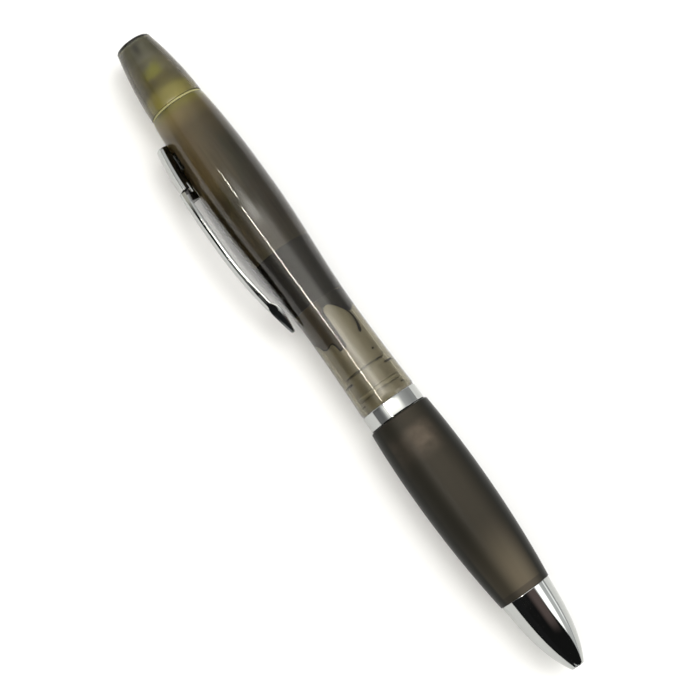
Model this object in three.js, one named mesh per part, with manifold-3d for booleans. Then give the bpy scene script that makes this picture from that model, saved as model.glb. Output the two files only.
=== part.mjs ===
// Twist ballpoint pen with a capped highlighter on its rear end.
// Lengths are in millimetres. A station is a distance along the pen's axis from the flat end of
// the cap, at 0, to the mouth of the nose cone. The pen lies on its side: the nose points to +X
// and the clip to -Y. Radii are measured from the axis.
import * as THREE from "three";
import { mergeVertices } from "three/addons/utils/BufferGeometryUtils.js";
import Module from "manifold-3d";

const wasm = await Module();
wasm.setup();

// Facets round the turned pieces
const OUTER_SEGMENTS = 40;
const INNER_SEGMENTS = 20;
const REFILL_SEGMENTS = 16;

// Clearances
const FIT = 0.1; // round a piece that is pressed or slid in and stays
const RUNNING_FIT = 0.25; // round a piece that turns or slides
const FACE_GAP = 0.1; // between end faces that meet
const CAM_GAP = 0.3; // between the lugs and the ramps
const CUT_REACH = 1.0; // of a cutting block past the piece it cuts

// Lengths of the outer pieces
const CAP_LENGTH = 15.0;
const FLANGE_THICKNESS = 0.4;
const BARREL_LENGTH = 69.7;
const RING_LENGTH = 3.2;
const GRIP_LENGTH = 40.5;
const CONE_LENGTH = 16.7;

// Walls
const CAP_WALL = 0.9;
const CAP_END_WALL = 0.9;
const BARREL_WALL = 0.85;
const CONE_WALL = 0.8;

// Highlighter
const NIB_RADIUS = 1.7;
const NIB_REACH = 3.4; // out of the snout
const NIB_DEPTH = 15.4; // from the snout's end back into the filler
const NIB_TIP_THICKNESS = 0.8;
const NIB_TAPER = 2.6;
const NIB_SLANT = 1.3;
const SNOUT_WALL = 1.1;
const SNOUT_LENGTH = 1.9;
const NECK_LENGTH = 4.6;
const NECK_CHAMFER = 0.35;
const NECK_BEAD = 0.15;
const NECK_BEAD_WIDTH = 1.0;
const CAP_SLIP = 0.15; // round the neck
const FLANGE_STEP = 0.2; // below the barrel's rim
const PLUG_LENGTH = 5.0;
const LINER_LENGTH = 5.0;
const FILLER_RADIUS = 4.35;
const FILLER_LENGTH = 29.5;
const WRAP_WALL = 0.25;
const WRAP_GAP = 0.12; // between the opened film and the bore

// Ballpoint refill
const TRAVEL = 5.0; // from retracted to extended
const RETRACT_DEPTH = 2.1; // of the ball inside the mouth
const BALL_RADIUS = 0.35;
const BALL_OUT = 0.25; // the part of the ball that stands out
const SOCKET_GAP = 0.05;
const SOCKET_RIM = 0.09;
const TIP_TAPER_LENGTH = 1.8;
const TIP_SHANK_RADIUS = 0.8;
const TIP_SHANK_LENGTH = 5.5;
const TIP_BODY_RADIUS = 1.15;
const TIP_BODY_LENGTH = 5.1;
const TIP_FLANGE_THICKNESS = 0.7;
const TIP_FLANGE_RADIUS = 1.9;
const TIP_SPIGOT_LENGTH = 3.0;
const REFILL_RADIUS = 1.5;
const REFILL_WALL = 0.5;
const REFILL_LENGTH = 57.0;
const INK_LENGTH = 48.0;

// Return spring
const SPRING_WIRE = 0.35;
const SPRING_TURNS = 8;
const SPRING_STEPS_PER_TURN = 8;
const SPRING_SIDES = 5;
const SPRING_CLEARANCE = 0.4; // between the wire and the tip's body

// Twist mechanism
const TWIST_DEGREES = 150;
const CUP_DEPTH = 3.0;
const CUP_WALL = 0.45;
const PLUNGER_STEM = 5.0; // from the lugs to the cup's floor
const PLUNGER_TAIL = 1.4; // behind the lugs
const LUG_THICKNESS = 1.5;
const LUG_WIDTH = 0.9;
const GUIDE_WALL = 0.55;
const GUIDE_TAIL = 1.8; // behind the lugs
const CAM_WALL = 0.9;
const CAM_BASE = 3.0; // from the housing's floor to the valleys
const CAM_DWELL_DEGREES = 10; // from a valley's middle to the foot of its ramp
const CAM_TOP_DEGREES = 4; // from a ramp's end to its drop
const CAM_DROP_DEGREES = 0.5; // from the drop's top to its foot
const CAM_RAMP_COUNT = 2;
const CAM_STEPS = 15;
const HOUSING_WALL = 0.45;
const HOUSING_FLOOR = 1.0;

// Joint of the barrel and the grip section
const COLLAR_DEPTH = 3.95; // inside the barrel's front rim
const COLLAR_LENGTH = 2.2;
const COLLAR_GAP = 1.5; // from the housing's end to the collar
const COUPLING_WALL = 0.55;
const HEAD_LENGTH = 1.1;
const HEAD_STEP = 0.6;
const HEAD_CHAMFER = 0.3;
const GROOVE_LENGTH = 1.5;
const FRICTION_RING_SECTION = 0.45;
const COUPLING_BORE_LENGTH = 16.0;
const COUPLING_SPIGOT_RADIUS = 3.8;
const COUPLING_SPIGOT_LENGTH = 5.4;
const RING_WALL = 1.07;
const RING_CHAMFER = 0.12;

// Lower barrel under the grip
const LOWER_WALL = 1.0;
const LOWER_BORE_RADIUS = 2.8;
const LOWER_TAPER = 0.4;
const SPIGOT_RADIUS = 3.7;
const SPIGOT_LENGTH = 4.8;
const THREAD_DEPTH = 5.0;

// Outlines of the shells
const CAP_END_RADIUS = 3.62;
const CAP_EDGE_ROUND = 0.6;
const CAP_CURVE_POWER = 1.75;
const CAP_STEP = 0.08; // below the barrel's rim
const BELLY_SWELL = 1.0; // above the barrel's rear rim
const BELLY_DISTANCE = 21.9; // from the rear rim
const BELLY_CURVE_POWER = 2.5;
const WAIST_DISTANCE = 51.4; // from the rear rim
const FLARE = 0.38; // of the front rim above the waist
const FLARE_CURVE_POWER = 1.9;
const GRIP_START_WALL = 1.3;
const GRIP_SWELL = 0.6;
const GRIP_BELLY_DISTANCE = 14.8;
const GRIP_START_POWER = 2;
const GRIP_END_WALL = 0.8;
const GRIP_END_POWER = 2.15;
const GRIP_EDGE_ROUND = 0.35;
const CONE_BASE_WALL = 1.45;
const CONE_STRAIGHT_SHARE = 0.35;
const CONE_CURVE_POWER = 3.2;
const MOUTH_WALL = 0.4;
const MOUTH_LENGTH = 4.5;
const MOUTH_ROUND = 0.25;
const MOUTH_SLIP = 0.15; // round the tip's shank

// Clip
const CLIP_FROM_RIM = 5.2; // from the barrel's rear rim to the head
const CLIP_LENGTH = 43.5;
const CLIP_HEAD_LENGTH = 11.9;
const CLIP_PLATE_LENGTH = 9.4; // of the head's wide top
const CLIP_ARM_GAP = 2.15; // between the arm and the belly
const CLIP_THICKNESS = 0.95;
const CLIP_CROWN = 0.3;
const CLIP_PEAK_DISTANCE = 22.3; // from the head's front to the highest point of the arm
const CLIP_HEAD_DROP = 1.6; // of the head's front below that point
const CLIP_PLATE_DROP = 0.7; // of the head's rear
const CLIP_PLATE_CURVE_POWER = 1.7;
const CLIP_NECK_DROP = 0.34; // of the arm where it leaves the head
const CLIP_NECK_CURVE_POWER = 3;
const CLIP_TAIL_DROP = 2.6;
const CLIP_HEAD_WIDTH = 4.8;
const CLIP_CORNER = 0.9; // radius of the head's front corners
const CLIP_ROOT_WIDTH = 2.4; // of the head where it stands on the barrel
const CLIP_NECK_WIDTH = 3.2;
const CLIP_NECK_ROOT = 1.2;
const CLIP_ARM_WIDTH = 3.5;
const CLIP_PAD_WIDTH = 3.1;
const CLIP_TIP_WIDTH = 1.0;
const CLIP_BEVEL = 0.22;
const CLIP_PLATE_BEVEL = 0.1;
const CLIP_INNER_BEVEL = 0.08;
const NECK_BEVEL = 0.6; // where the arm leaves the head
const NECK_BEVEL_LENGTH = 7.0; // along the pen, down to the arm's bevel
const PAD_BEVEL_LENGTH = 10.0; // along the pen, up to the pad's bevel
const PAD_RIM = 0.16; // upright edge left beside the pad's bevel
const CLIP_SEAT_GAP = 0.15;
const PAD_LENGTH = 6.9; // from the pad's rise to the tip
const PAD_RISE = 2.1; // along the pen
const PAD_FLAT = 0.9; // along the pen
const PAD_GAP = 1.0; // between the pad and the barrel
const PAD_END_LIFT = 0.25;
const CLIP_END_ROUND = 0.1;
const FOOT_FROM_HEAD = 2.4;
const FOOT_LENGTH = 3.0;
const FOOT_WIDTH = 2.0;
const HOOK_LENGTH = 4.6;
const HOOK_THICKNESS = 0.35;
const HOOK_GAP = 0.2;
const SLOT_GAP = 0.3;

// Stations of the outer pieces
const flangeStart = CAP_LENGTH + FACE_GAP;
const flangeEnd = flangeStart + FLANGE_THICKNESS;
const barrelStart = flangeEnd + FACE_GAP;
const barrelEnd = barrelStart + BARREL_LENGTH;
const ringStart = barrelEnd + FACE_GAP;
const ringEnd = ringStart + RING_LENGTH;
const gripStart = ringEnd + FACE_GAP;
const gripEnd = gripStart + GRIP_LENGTH;
const coneStart = gripEnd + FACE_GAP;
const coneEnd = coneStart + CONE_LENGTH;

// Stations of the refill and its spring
const ballFront = coneEnd - RETRACT_DEPTH;
const ballStation = ballFront - BALL_RADIUS;
const rimStation = ballFront - BALL_OUT;
const shankEnd = rimStation - TIP_TAPER_LENGTH;
const shankStart = shankEnd - TIP_SHANK_LENGTH;
const bodyStart = shankStart - TIP_BODY_LENGTH;
const tipFlangeStart = bodyStart - TIP_FLANGE_THICKNESS;
const refillEnd = tipFlangeStart - FACE_GAP;
const refillStart = refillEnd - REFILL_LENGTH;
const mouthStart = coneEnd - MOUTH_LENGTH;

// Stations of the joint, back from the barrel's front rim
const collarEnd = barrelEnd - COLLAR_DEPTH;
const collarStart = collarEnd - COLLAR_LENGTH;
const headEnd = collarStart - RUNNING_FIT;
const headStart = headEnd - HEAD_LENGTH;
const grooveEnd = collarEnd + RUNNING_FIT + GROOVE_LENGTH;
const couplingEnd = gripStart + COUPLING_SPIGOT_LENGTH;

// Stations of the twist mechanism, back from the refill, in a housing that ends at the joint
const cupFloor = refillStart - FACE_GAP;
const lugEnd = cupFloor - PLUNGER_STEM;
const lugStart = lugEnd - LUG_THICKNESS;
const guideStart = lugStart - GUIDE_TAIL;
const valleyStation = lugStart - CAM_GAP;
const camStart = valleyStation - CAM_BASE;
const housingStart = camStart - FACE_GAP - HOUSING_FLOOR;
const housingEnd = collarStart - COLLAR_GAP;

// Stations of the highlighter
const neckStart = flangeStart - NECK_LENGTH;
const snoutStart = neckStart - SNOUT_LENGTH;
const nibStart = snoutStart - NIB_REACH;
const nibEnd = snoutStart + NIB_DEPTH;
const plugEnd = flangeEnd + PLUG_LENGTH;
const fillerStart = plugEnd + FACE_GAP;
const fillerEnd = fillerStart + FILLER_LENGTH;
const chamberPlugStart = fillerEnd + FACE_GAP;
const chamberPlugEnd = housingStart - FACE_GAP;
const linerEnd = neckStart - RUNNING_FIT;
const linerStart = linerEnd - LINER_LENGTH;

// Stations of the clip
const clipStart = barrelStart + CLIP_FROM_RIM;
const clipEnd = clipStart + CLIP_LENGTH;
const headPlateEnd = clipStart + CLIP_PLATE_LENGTH;
const headBack = clipStart + CLIP_HEAD_LENGTH;
const clipPeak = clipStart + CLIP_PEAK_DISTANCE;
const padStart = clipEnd - PAD_LENGTH;

// Radii from the refill outwards to the barrel's waist
const inkRadius = REFILL_RADIUS - REFILL_WALL - FIT;
const cupRadius = REFILL_RADIUS + FIT;
const plungerRadius = cupRadius + CUP_WALL;
const guideBore = plungerRadius + RUNNING_FIT;
const guideRadius = guideBore + GUIDE_WALL;
const camBore = guideRadius + RUNNING_FIT;
const camRadius = camBore + CAM_WALL;
const housingBore = camRadius + FIT;
const housingRadius = housingBore + HOUSING_WALL;
const waistBore = housingRadius + FIT;
const waistRadius = waistBore + BARREL_WALL;
const frontRimRadius = waistRadius + FLARE;

// Radii of the highlighter, out to the barrel's rear rim
const nibBore = NIB_RADIUS + FIT;
const snoutRadius = nibBore + SNOUT_WALL;
const rolledWrap = FILLER_RADIUS + FIT + WRAP_WALL; // as it passes the barrel's rear rim
const plugRadius = rolledWrap + FIT;
const rearRimRadius = plugRadius + FIT + BARREL_WALL;
const bellyRadius = rearRimRadius + BELLY_SWELL;
const capOpenRadius = rearRimRadius - CAP_STEP;
const flangeRadius = rearRimRadius - FLANGE_STEP;

// Radii of the coupling, the lower barrel, the grip and the nose cone
const couplingBore = guideRadius + FIT;
const couplingNeck = couplingBore + COUPLING_WALL;
const couplingHead = couplingNeck + HEAD_STEP;
const collarBore = couplingNeck + RUNNING_FIT;
const couplingBody = frontRimRadius - BARREL_WALL - RUNNING_FIT;
const ringBore = couplingBody + FIT;
const ringRadius = ringBore + RING_WALL;
const lowerSocket = COUPLING_SPIGOT_RADIUS + FIT;
const lowerStartRadius = lowerSocket + LOWER_WALL;
const lowerEndRadius = lowerStartRadius - LOWER_TAPER;
const gripStartRadius = lowerStartRadius + FIT + GRIP_START_WALL;
const gripBellyRadius = gripStartRadius + GRIP_SWELL;
const gripEndRadius = lowerEndRadius + FIT + GRIP_END_WALL;
const threadRadius = SPIGOT_RADIUS + FIT;
const coneBaseRadius = threadRadius + CONE_BASE_WALL;
const mouthBore = TIP_SHANK_RADIUS + MOUTH_SLIP;
const mouthRadius = mouthBore + MOUTH_WALL;

// Colours, roughness and metalness of the materials
const smokePlastic = { color: 0x5b574a, roughness: 0.12, metalness: 0 };
const chrome = { color: 0xd9dadb, roughness: 0.08, metalness: 1 };
const frostedRubber = { color: 0x4a463e, roughness: 0.6, metalness: 0 };
const yellowPlastic = { color: 0xd6d25a, roughness: 0.4, metalness: 0 };
const yellowFelt = { color: 0xdbe03c, roughness: 0.9, metalness: 0 };
const soakedFiller = { color: 0x6b6136, roughness: 0.9, metalness: 0 };
const wrapFilm = { color: 0x6b5f49, roughness: 0.5, metalness: 0 };
const darkPlastic = { color: 0x2b2925, roughness: 0.4, metalness: 0 };
const paleSmokePlastic = { color: 0x8a8570, roughness: 0.25, metalness: 0 };
const whitePlastic = { color: 0xe4e2d8, roughness: 0.4, metalness: 0 };
const smokeRubber = { color: 0x39362b, roughness: 0.7, metalness: 0 };
const brass = { color: 0xb8923f, roughness: 0.3, metalness: 1 };
const steel = { color: 0x9a9c9f, roughness: 0.25, metalness: 1 };
const refillPlastic = { color: 0xd8d8d0, roughness: 0.3, metalness: 0 };
const blueInk = { color: 0x14204e, roughness: 0.3, metalness: 0 };

function easeOut(share, power) {
  return 1 - (1 - share) ** power;
}

function capRadius(station) {
  const rise = capOpenRadius - CAP_END_RADIUS;
  return CAP_END_RADIUS + rise * easeOut(station / CAP_LENGTH, CAP_CURVE_POWER);
}

// The barrel rises to its belly, falls in a half wave to its waist and flares to the ring
function barrelRadius(station) {
  const distance = station - barrelStart;
  if (distance < BELLY_DISTANCE) {
    return rearRimRadius + BELLY_SWELL * easeOut(distance / BELLY_DISTANCE, BELLY_CURVE_POWER);
  }
  if (distance < WAIST_DISTANCE) {
    const share = (distance - BELLY_DISTANCE) / (WAIST_DISTANCE - BELLY_DISTANCE);
    const middle = (bellyRadius + waistRadius) / 2;
    return middle + ((bellyRadius - waistRadius) / 2) * Math.cos(Math.PI * share);
  }
  const share = (distance - WAIST_DISTANCE) / (BARREL_LENGTH - WAIST_DISTANCE);
  return waistRadius + FLARE * share ** FLARE_CURVE_POWER;
}

function gripRadius(station) {
  const distance = station - gripStart;
  if (distance < GRIP_BELLY_DISTANCE) {
    return gripStartRadius + GRIP_SWELL * easeOut(distance / GRIP_BELLY_DISTANCE, GRIP_START_POWER);
  }
  const share = (distance - GRIP_BELLY_DISTANCE) / (GRIP_LENGTH - GRIP_BELLY_DISTANCE);
  return gripBellyRadius - (gripBellyRadius - gripEndRadius) * share ** GRIP_END_POWER;
}

function coneRadius(station) {
  const share = (station - coneStart) / CONE_LENGTH;
  const straight = CONE_STRAIGHT_SHARE * share;
  const curved = (1 - CONE_STRAIGHT_SHARE) * share ** CONE_CURVE_POWER;
  return coneBaseRadius - (coneBaseRadius - mouthRadius) * (straight + curved);
}

function lowerRadius(station) {
  const share = (station - gripStart) / GRIP_LENGTH;
  return lowerStartRadius - LOWER_TAPER * share;
}

// Stations in equal steps, both ends included
function evenly(from, to, steps) {
  return Array.from({ length: steps + 1 }, (_, i) => from + ((to - from) * i) / steps);
}

// Points [station, radius] that follow a radius function in equal steps
function follow(radiusAt, from, to, steps) {
  return evenly(from, to, steps).map((station) => [station, radiusAt(station)]);
}

// A quarter round from the end face of a piece to its side, as seen in profile
function roundedEdge(endStation, sideRadius, round, steps) {
  return evenly(Math.PI / 2, 0, steps).map((angle) => [
    endStation + round * (1 - Math.sin(angle)),
    sideRadius - round * (1 - Math.cos(angle)),
  ]);
}

// Turns a profile of [station, radius] points about the axis; it starts and ends on the axis and
// runs to +X on its outside
function turned(profile, segments = INNER_SEGMENTS) {
  const points = profile.map(([station, radius]) => new THREE.Vector2(radius, station));
  const geometry = new THREE.LatheGeometry(points, segments);
  geometry.rotateZ(-Math.PI / 2);
  return geometry;
}

// Profile of a plain rod
function rod(from, to, radius) {
  return [[from, 0], [from, radius], [to, radius], [to, 0]];
}

// A hollow turned piece, whose profile closes on itself
function turnedRing(profile, segments = INNER_SEGMENTS) {
  return turned([...profile, profile[0]], segments);
}

function tube(from, to, bore, radius, segments = INNER_SEGMENTS) {
  return turnedRing([[from, bore], [from, radius], [to, radius], [to, bore]], segments);
}

function block(fromX, toX, fromY, toY, fromZ, toZ) {
  const geometry = new THREE.BoxGeometry(toX - fromX, toY - fromY, toZ - fromZ);
  geometry.translate((fromX + toX) / 2, (fromY + toY) / 2, (fromZ + toZ) / 2);
  return geometry;
}

// An outline drawn in the X-Y plane, given its thickness along Z
function slab(outline, fromZ, toZ) {
  const shape = new THREE.Shape(outline.map(([x, y]) => new THREE.Vector2(x, y)));
  const geometry = new THREE.ExtrudeGeometry(shape, { depth: toZ - fromZ, bevelEnabled: false });
  geometry.translate(0, 0, fromZ);
  return geometry;
}

function toSolid(geometry) {
  const bare = geometry.clone();
  bare.deleteAttribute("normal");
  bare.deleteAttribute("uv");
  const merged = mergeVertices(bare, 1e-4);
  const vertProperties = new Float32Array(merged.attributes.position.array);
  const triVerts = new Uint32Array(merged.index.array);
  return new wasm.Manifold(new wasm.Mesh({ numProp: 3, vertProperties, triVerts }));
}

function toGeometry(solid) {
  const mesh = solid.getMesh();
  const geometry = new THREE.BufferGeometry();
  geometry.setAttribute("position", new THREE.BufferAttribute(mesh.vertProperties, 3));
  geometry.setIndex(new THREE.BufferAttribute(mesh.triVerts, 1));
  geometry.computeVertexNormals();
  return geometry;
}

// Joins rings of points, each ring in the same order, into a closed skin; the ends are fans, or
// the last ring meets the first again where the skin is a loop
function skin(rings, isLoop = false) {
  const sides = rings[0].length;
  const positions = rings.flat().flat();
  const indices = [];
  const spans = isLoop ? rings.length : rings.length - 1;
  for (let i = 0; i < spans; i += 1) {
    const here = i * sides;
    const there = ((i + 1) % rings.length) * sides;
    for (let j = 0; j < sides; j += 1) {
      const next = (j + 1) % sides;
      indices.push(here + j, there + j, there + next);
      indices.push(here + j, there + next, here + next);
    }
  }
  if (!isLoop) {
    const last = (rings.length - 1) * sides;
    for (let j = 1; j < sides - 1; j += 1) {
      indices.push(0, j, j + 1);
      indices.push(last, last + j + 1, last + j);
    }
  }
  const geometry = new THREE.BufferGeometry();
  geometry.setAttribute("position", new THREE.Float32BufferAttribute(positions, 3));
  geometry.setIndex(indices);
  geometry.computeVertexNormals();
  return geometry;
}

function piece(name, geometry, look) {
  const mesh = new THREE.Mesh(geometry, new THREE.MeshStandardMaterial(look));
  mesh.name = name;
  return mesh;
}

// Cap: a shell with a flat, round-edged end, open towards the barrel
function makeCap() {
  const edge = roundedEdge(0, capRadius(CAP_EDGE_ROUND), CAP_EDGE_ROUND, 3);
  const inside = (station) => capRadius(station) - CAP_WALL;
  const profile = [
    [0, 0],
    ...edge,
    ...follow(capRadius, CAP_EDGE_ROUND, CAP_LENGTH, 7).slice(1),
    ...follow(inside, CAP_LENGTH, CAP_END_WALL, 6),
    [CAP_END_WALL, 0],
  ];
  return piece("cap", turned(profile, OUTER_SEGMENTS), smokePlastic);
}

// Liner: seals the cap on the snout of the nib holder
function makeCapLiner() {
  const outside = (station) => capRadius(station) - CAP_WALL - FIT;
  const bore = snoutRadius + CAP_SLIP;
  const profile = [[linerStart, bore], ...follow(outside, linerStart, linerEnd, 3), [linerEnd, bore]];
  return piece("cap_liner", turnedRing(profile), paleSmokePlastic);
}

// Nib: a round rod of felt, tapered to a slanted chisel edge
function makeNib() {
  const round = turned(rod(nibStart, nibEnd, NIB_RADIUS));
  const half = NIB_TIP_THICKNESS / 2;
  const wide = NIB_RADIUS + FIT;
  const taperEnd = nibStart + NIB_TAPER;
  const behind = nibEnd + CUT_REACH;
  const taperOutline = [
    [nibStart, -half],
    [taperEnd, -wide],
    [behind, -wide],
    [behind, wide],
    [taperEnd, wide],
    [nibStart, half],
  ];
  const taper = slab(taperOutline, -wide, wide);
  taper.rotateX(Math.PI / 2);
  const slantOutline = [[nibStart + NIB_SLANT, -wide], [behind, -wide], [behind, wide], [nibStart, wide]];
  const slant = slab(slantOutline, -wide, wide);
  const solid = toSolid(round).intersect(toSolid(taper)).intersect(toSolid(slant));
  return piece("highlighter_nib", toGeometry(solid), yellowFelt);
}

// Nib holder: snout, neck with the cap's bead, flange in the seam, and plug in the barrel
function makeNibHolder() {
  const neckRadius = capRadius(neckStart) - CAP_WALL - CAP_SLIP;
  const beadMiddle = (neckStart + flangeStart) / 2 + NECK_BEAD_WIDTH / 2;
  const profile = [
    [snoutStart, nibBore],
    [snoutStart, snoutRadius - NECK_CHAMFER],
    [snoutStart + NECK_CHAMFER, snoutRadius],
    [neckStart, snoutRadius],
    [neckStart, neckRadius - NECK_CHAMFER],
    [neckStart + NECK_CHAMFER, neckRadius],
    [beadMiddle - NECK_BEAD_WIDTH / 2, neckRadius],
    [beadMiddle, neckRadius + NECK_BEAD],
    [beadMiddle + NECK_BEAD_WIDTH / 2, neckRadius],
    [flangeStart, neckRadius],
    [flangeStart, flangeRadius],
    [flangeEnd, flangeRadius],
    [flangeEnd, plugRadius],
    [plugEnd, plugRadius],
    [plugEnd, nibBore],
  ];
  return piece("nib_holder", turnedRing(profile), yellowPlastic);
}

// Filler: the ink rod, with a blind hole for the nib's rear end
function makeFiller() {
  const holeEnd = nibEnd + FIT;
  const profile = [
    [holeEnd, 0],
    [holeEnd, nibBore],
    [fillerStart, nibBore],
    [fillerStart, FILLER_RADIUS],
    [fillerEnd, FILLER_RADIUS],
    [fillerEnd, 0],
  ];
  return piece("ink_filler", turned(profile), soakedFiller);
}

// What lies against the barrel's bore follows it at a small gap
function againstBore(station) {
  return barrelRadius(station) - BARREL_WALL - WRAP_GAP;
}

// Wrap: a film that is rolled round the filler and springs open against the bore, with a window
// for the clip's hook
function makeWrap() {
  const inside = (station) => againstBore(station) - WRAP_WALL;
  const profile = [
    ...follow(againstBore, fillerStart, fillerEnd, 8),
    ...follow(inside, fillerEnd, fillerStart, 8),
  ];
  const window = block(
    fillerStart - CUT_REACH,
    clipStart + FOOT_FROM_HEAD + FOOT_LENGTH + SLOT_GAP,
    -bellyRadius,
    -rolledWrap,
    -FOOT_WIDTH / 2 - SLOT_GAP,
    FOOT_WIDTH / 2 + SLOT_GAP,
  );
  const solid = toSolid(turnedRing(profile)).subtract(toSolid(window));
  return piece("filler_wrap", toGeometry(solid), wrapFilm);
}

// Chamber plug: a soft cup, tapered like the bore, that closes the ink chamber below the filler
function makeChamberPlug() {
  const inside = (station) => againstBore(station) - HOUSING_WALL;
  const profile = [
    [chamberPlugStart, 0],
    ...follow(againstBore, chamberPlugStart, chamberPlugEnd, 4),
    ...follow(inside, chamberPlugEnd, chamberPlugStart + HOUSING_FLOOR, 4),
    [chamberPlugStart + HOUSING_FLOOR, 0],
  ];
  return piece("chamber_plug", turned(profile), darkPlastic);
}

// Barrel: an even shell, with the slot for the clip's foot on its -Y side
function makeBarrel() {
  const inside = (station) => barrelRadius(station) - BARREL_WALL;
  const belly = barrelStart + BELLY_DISTANCE;
  const waist = barrelStart + WAIST_DISTANCE;
  const profile = [
    ...follow(barrelRadius, barrelStart, belly, 5),
    ...follow(barrelRadius, belly, waist, 6).slice(1),
    ...follow(barrelRadius, waist, barrelEnd, 3).slice(1),
    ...follow(inside, barrelEnd, waist, 3),
    ...follow(inside, waist, belly, 5).slice(1),
    ...follow(inside, belly, barrelStart, 4).slice(1),
  ];
  const slot = block(
    clipStart + FOOT_FROM_HEAD - SLOT_GAP,
    clipStart + FOOT_FROM_HEAD + FOOT_LENGTH + SLOT_GAP,
    -bellyRadius - CUT_REACH,
    -rolledWrap,
    -FOOT_WIDTH / 2 - SLOT_GAP,
    FOOT_WIDTH / 2 + SLOT_GAP,
  );
  const solid = toSolid(turnedRing(profile, OUTER_SEGMENTS)).subtract(toSolid(slot));
  return piece("barrel", toGeometry(solid), smokePlastic);
}

// The clip's outer edge rises over the head, steps up to the arm, bows and falls to the tip
function clipOuter(station) {
  const top = bellyRadius + CLIP_ARM_GAP + CLIP_THICKNESS;
  if (station <= headPlateEnd) {
    const share = (station - clipStart) / CLIP_PLATE_LENGTH;
    const rise = (CLIP_HEAD_DROP - CLIP_PLATE_DROP) * easeOut(share, CLIP_PLATE_CURVE_POWER);
    return top - CLIP_HEAD_DROP + rise;
  }
  if (station < clipPeak) {
    const share = (clipPeak - station) / (clipPeak - headPlateEnd);
    return top - CLIP_NECK_DROP * share ** CLIP_NECK_CURVE_POWER;
  }
  return top - CLIP_TAIL_DROP * ((station - clipPeak) / (clipEnd - clipPeak)) ** 2;
}

// Its inner side sits on the barrel under the head, runs even under the arm and dips to the pad
function clipInner(station) {
  const arm = clipOuter(station) - CLIP_THICKNESS;
  if (station <= headBack) {
    return barrelRadius(station) + CLIP_SEAT_GAP;
  }
  if (station <= padStart) {
    return arm;
  }
  const padEnd = padStart + PAD_RISE + PAD_FLAT;
  const pad = barrelRadius(padStart + PAD_RISE) + PAD_GAP;
  if (station < padStart + PAD_RISE) {
    const share = (station - padStart) / PAD_RISE;
    return arm + (pad - arm) * Math.sin((Math.PI / 2) * share);
  }
  const share = Math.max(station - padEnd, 0) / (clipEnd - padEnd);
  return pad + PAD_END_LIFT * share ** 2;
}

// Half the clip's width: a wide head with round front corners, a narrow neck, a leaf-shaped arm
// and a lobed pad
function clipHalfWidth(station) {
  if (station <= headPlateEnd) {
    const left = Math.max(CLIP_CORNER - (station - clipStart), 0);
    return CLIP_HEAD_WIDTH / 2 - CLIP_CORNER + Math.sqrt(CLIP_CORNER ** 2 - left ** 2);
  }
  if (station < clipPeak) {
    const share = (station - headPlateEnd) / (clipPeak - headPlateEnd);
    return (CLIP_NECK_WIDTH + (CLIP_ARM_WIDTH - CLIP_NECK_WIDTH) * easeOut(share, 2)) / 2;
  }
  if (station < padStart) {
    const share = (station - clipPeak) / (padStart - clipPeak);
    return (CLIP_ARM_WIDTH - (CLIP_ARM_WIDTH - CLIP_PAD_WIDTH) * share ** 2) / 2;
  }
  const share = (station - padStart) / PAD_LENGTH;
  return (CLIP_PAD_WIDTH - (CLIP_PAD_WIDTH - CLIP_TIP_WIDTH) * share ** 1.6) / 2;
}

// Half the width where the clip meets the barrel; beyond the head its sides are upright
function clipRoot(station) {
  if (station > headBack) {
    return clipHalfWidth(station);
  }
  return (station <= headPlateEnd ? CLIP_ROOT_WIDTH : CLIP_NECK_ROOT) / 2;
}

// The bevel beside the outer face: fine on the head's plate, broad where the arm starts, then
// fine until it grows into the pad's whole side but for its rim
function clipBevel(station, thickness) {
  if (station <= headPlateEnd) {
    return CLIP_PLATE_BEVEL;
  }
  const fromNeck = Math.max(1 - (station - headPlateEnd) / NECK_BEVEL_LENGTH, 0);
  const toPad = (station - padStart) / PAD_BEVEL_LENGTH + 1;
  const padShare = Math.min(Math.max(toPad, 0), 1) ** 2;
  const arm = CLIP_BEVEL + (NECK_BEVEL - CLIP_BEVEL) * fromNeck ** 2;
  return arm + (thickness - PAD_RIM - CLIP_BEVEL) * padShare;
}

// One section across the clip, bevelled at its edges and crowned outside
function clipSection(station, inner, outer, root, half, crown) {
  const thickness = outer - inner;
  const low = Math.min(CLIP_INNER_BEVEL, thickness / 5);
  const edge = Math.min(clipBevel(station, thickness), thickness / 1.6, half / 1.3);
  return [
    [station, -inner, -root + low],
    [station, -inner - low, -root],
    [station, -outer + edge, -half],
    [station, -outer, -half + edge],
    [station, -outer - crown, 0],
    [station, -outer, half - edge],
    [station, -outer + edge, half],
    [station, -inner - low, root],
    [station, -inner, root - low],
  ];
}

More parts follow.
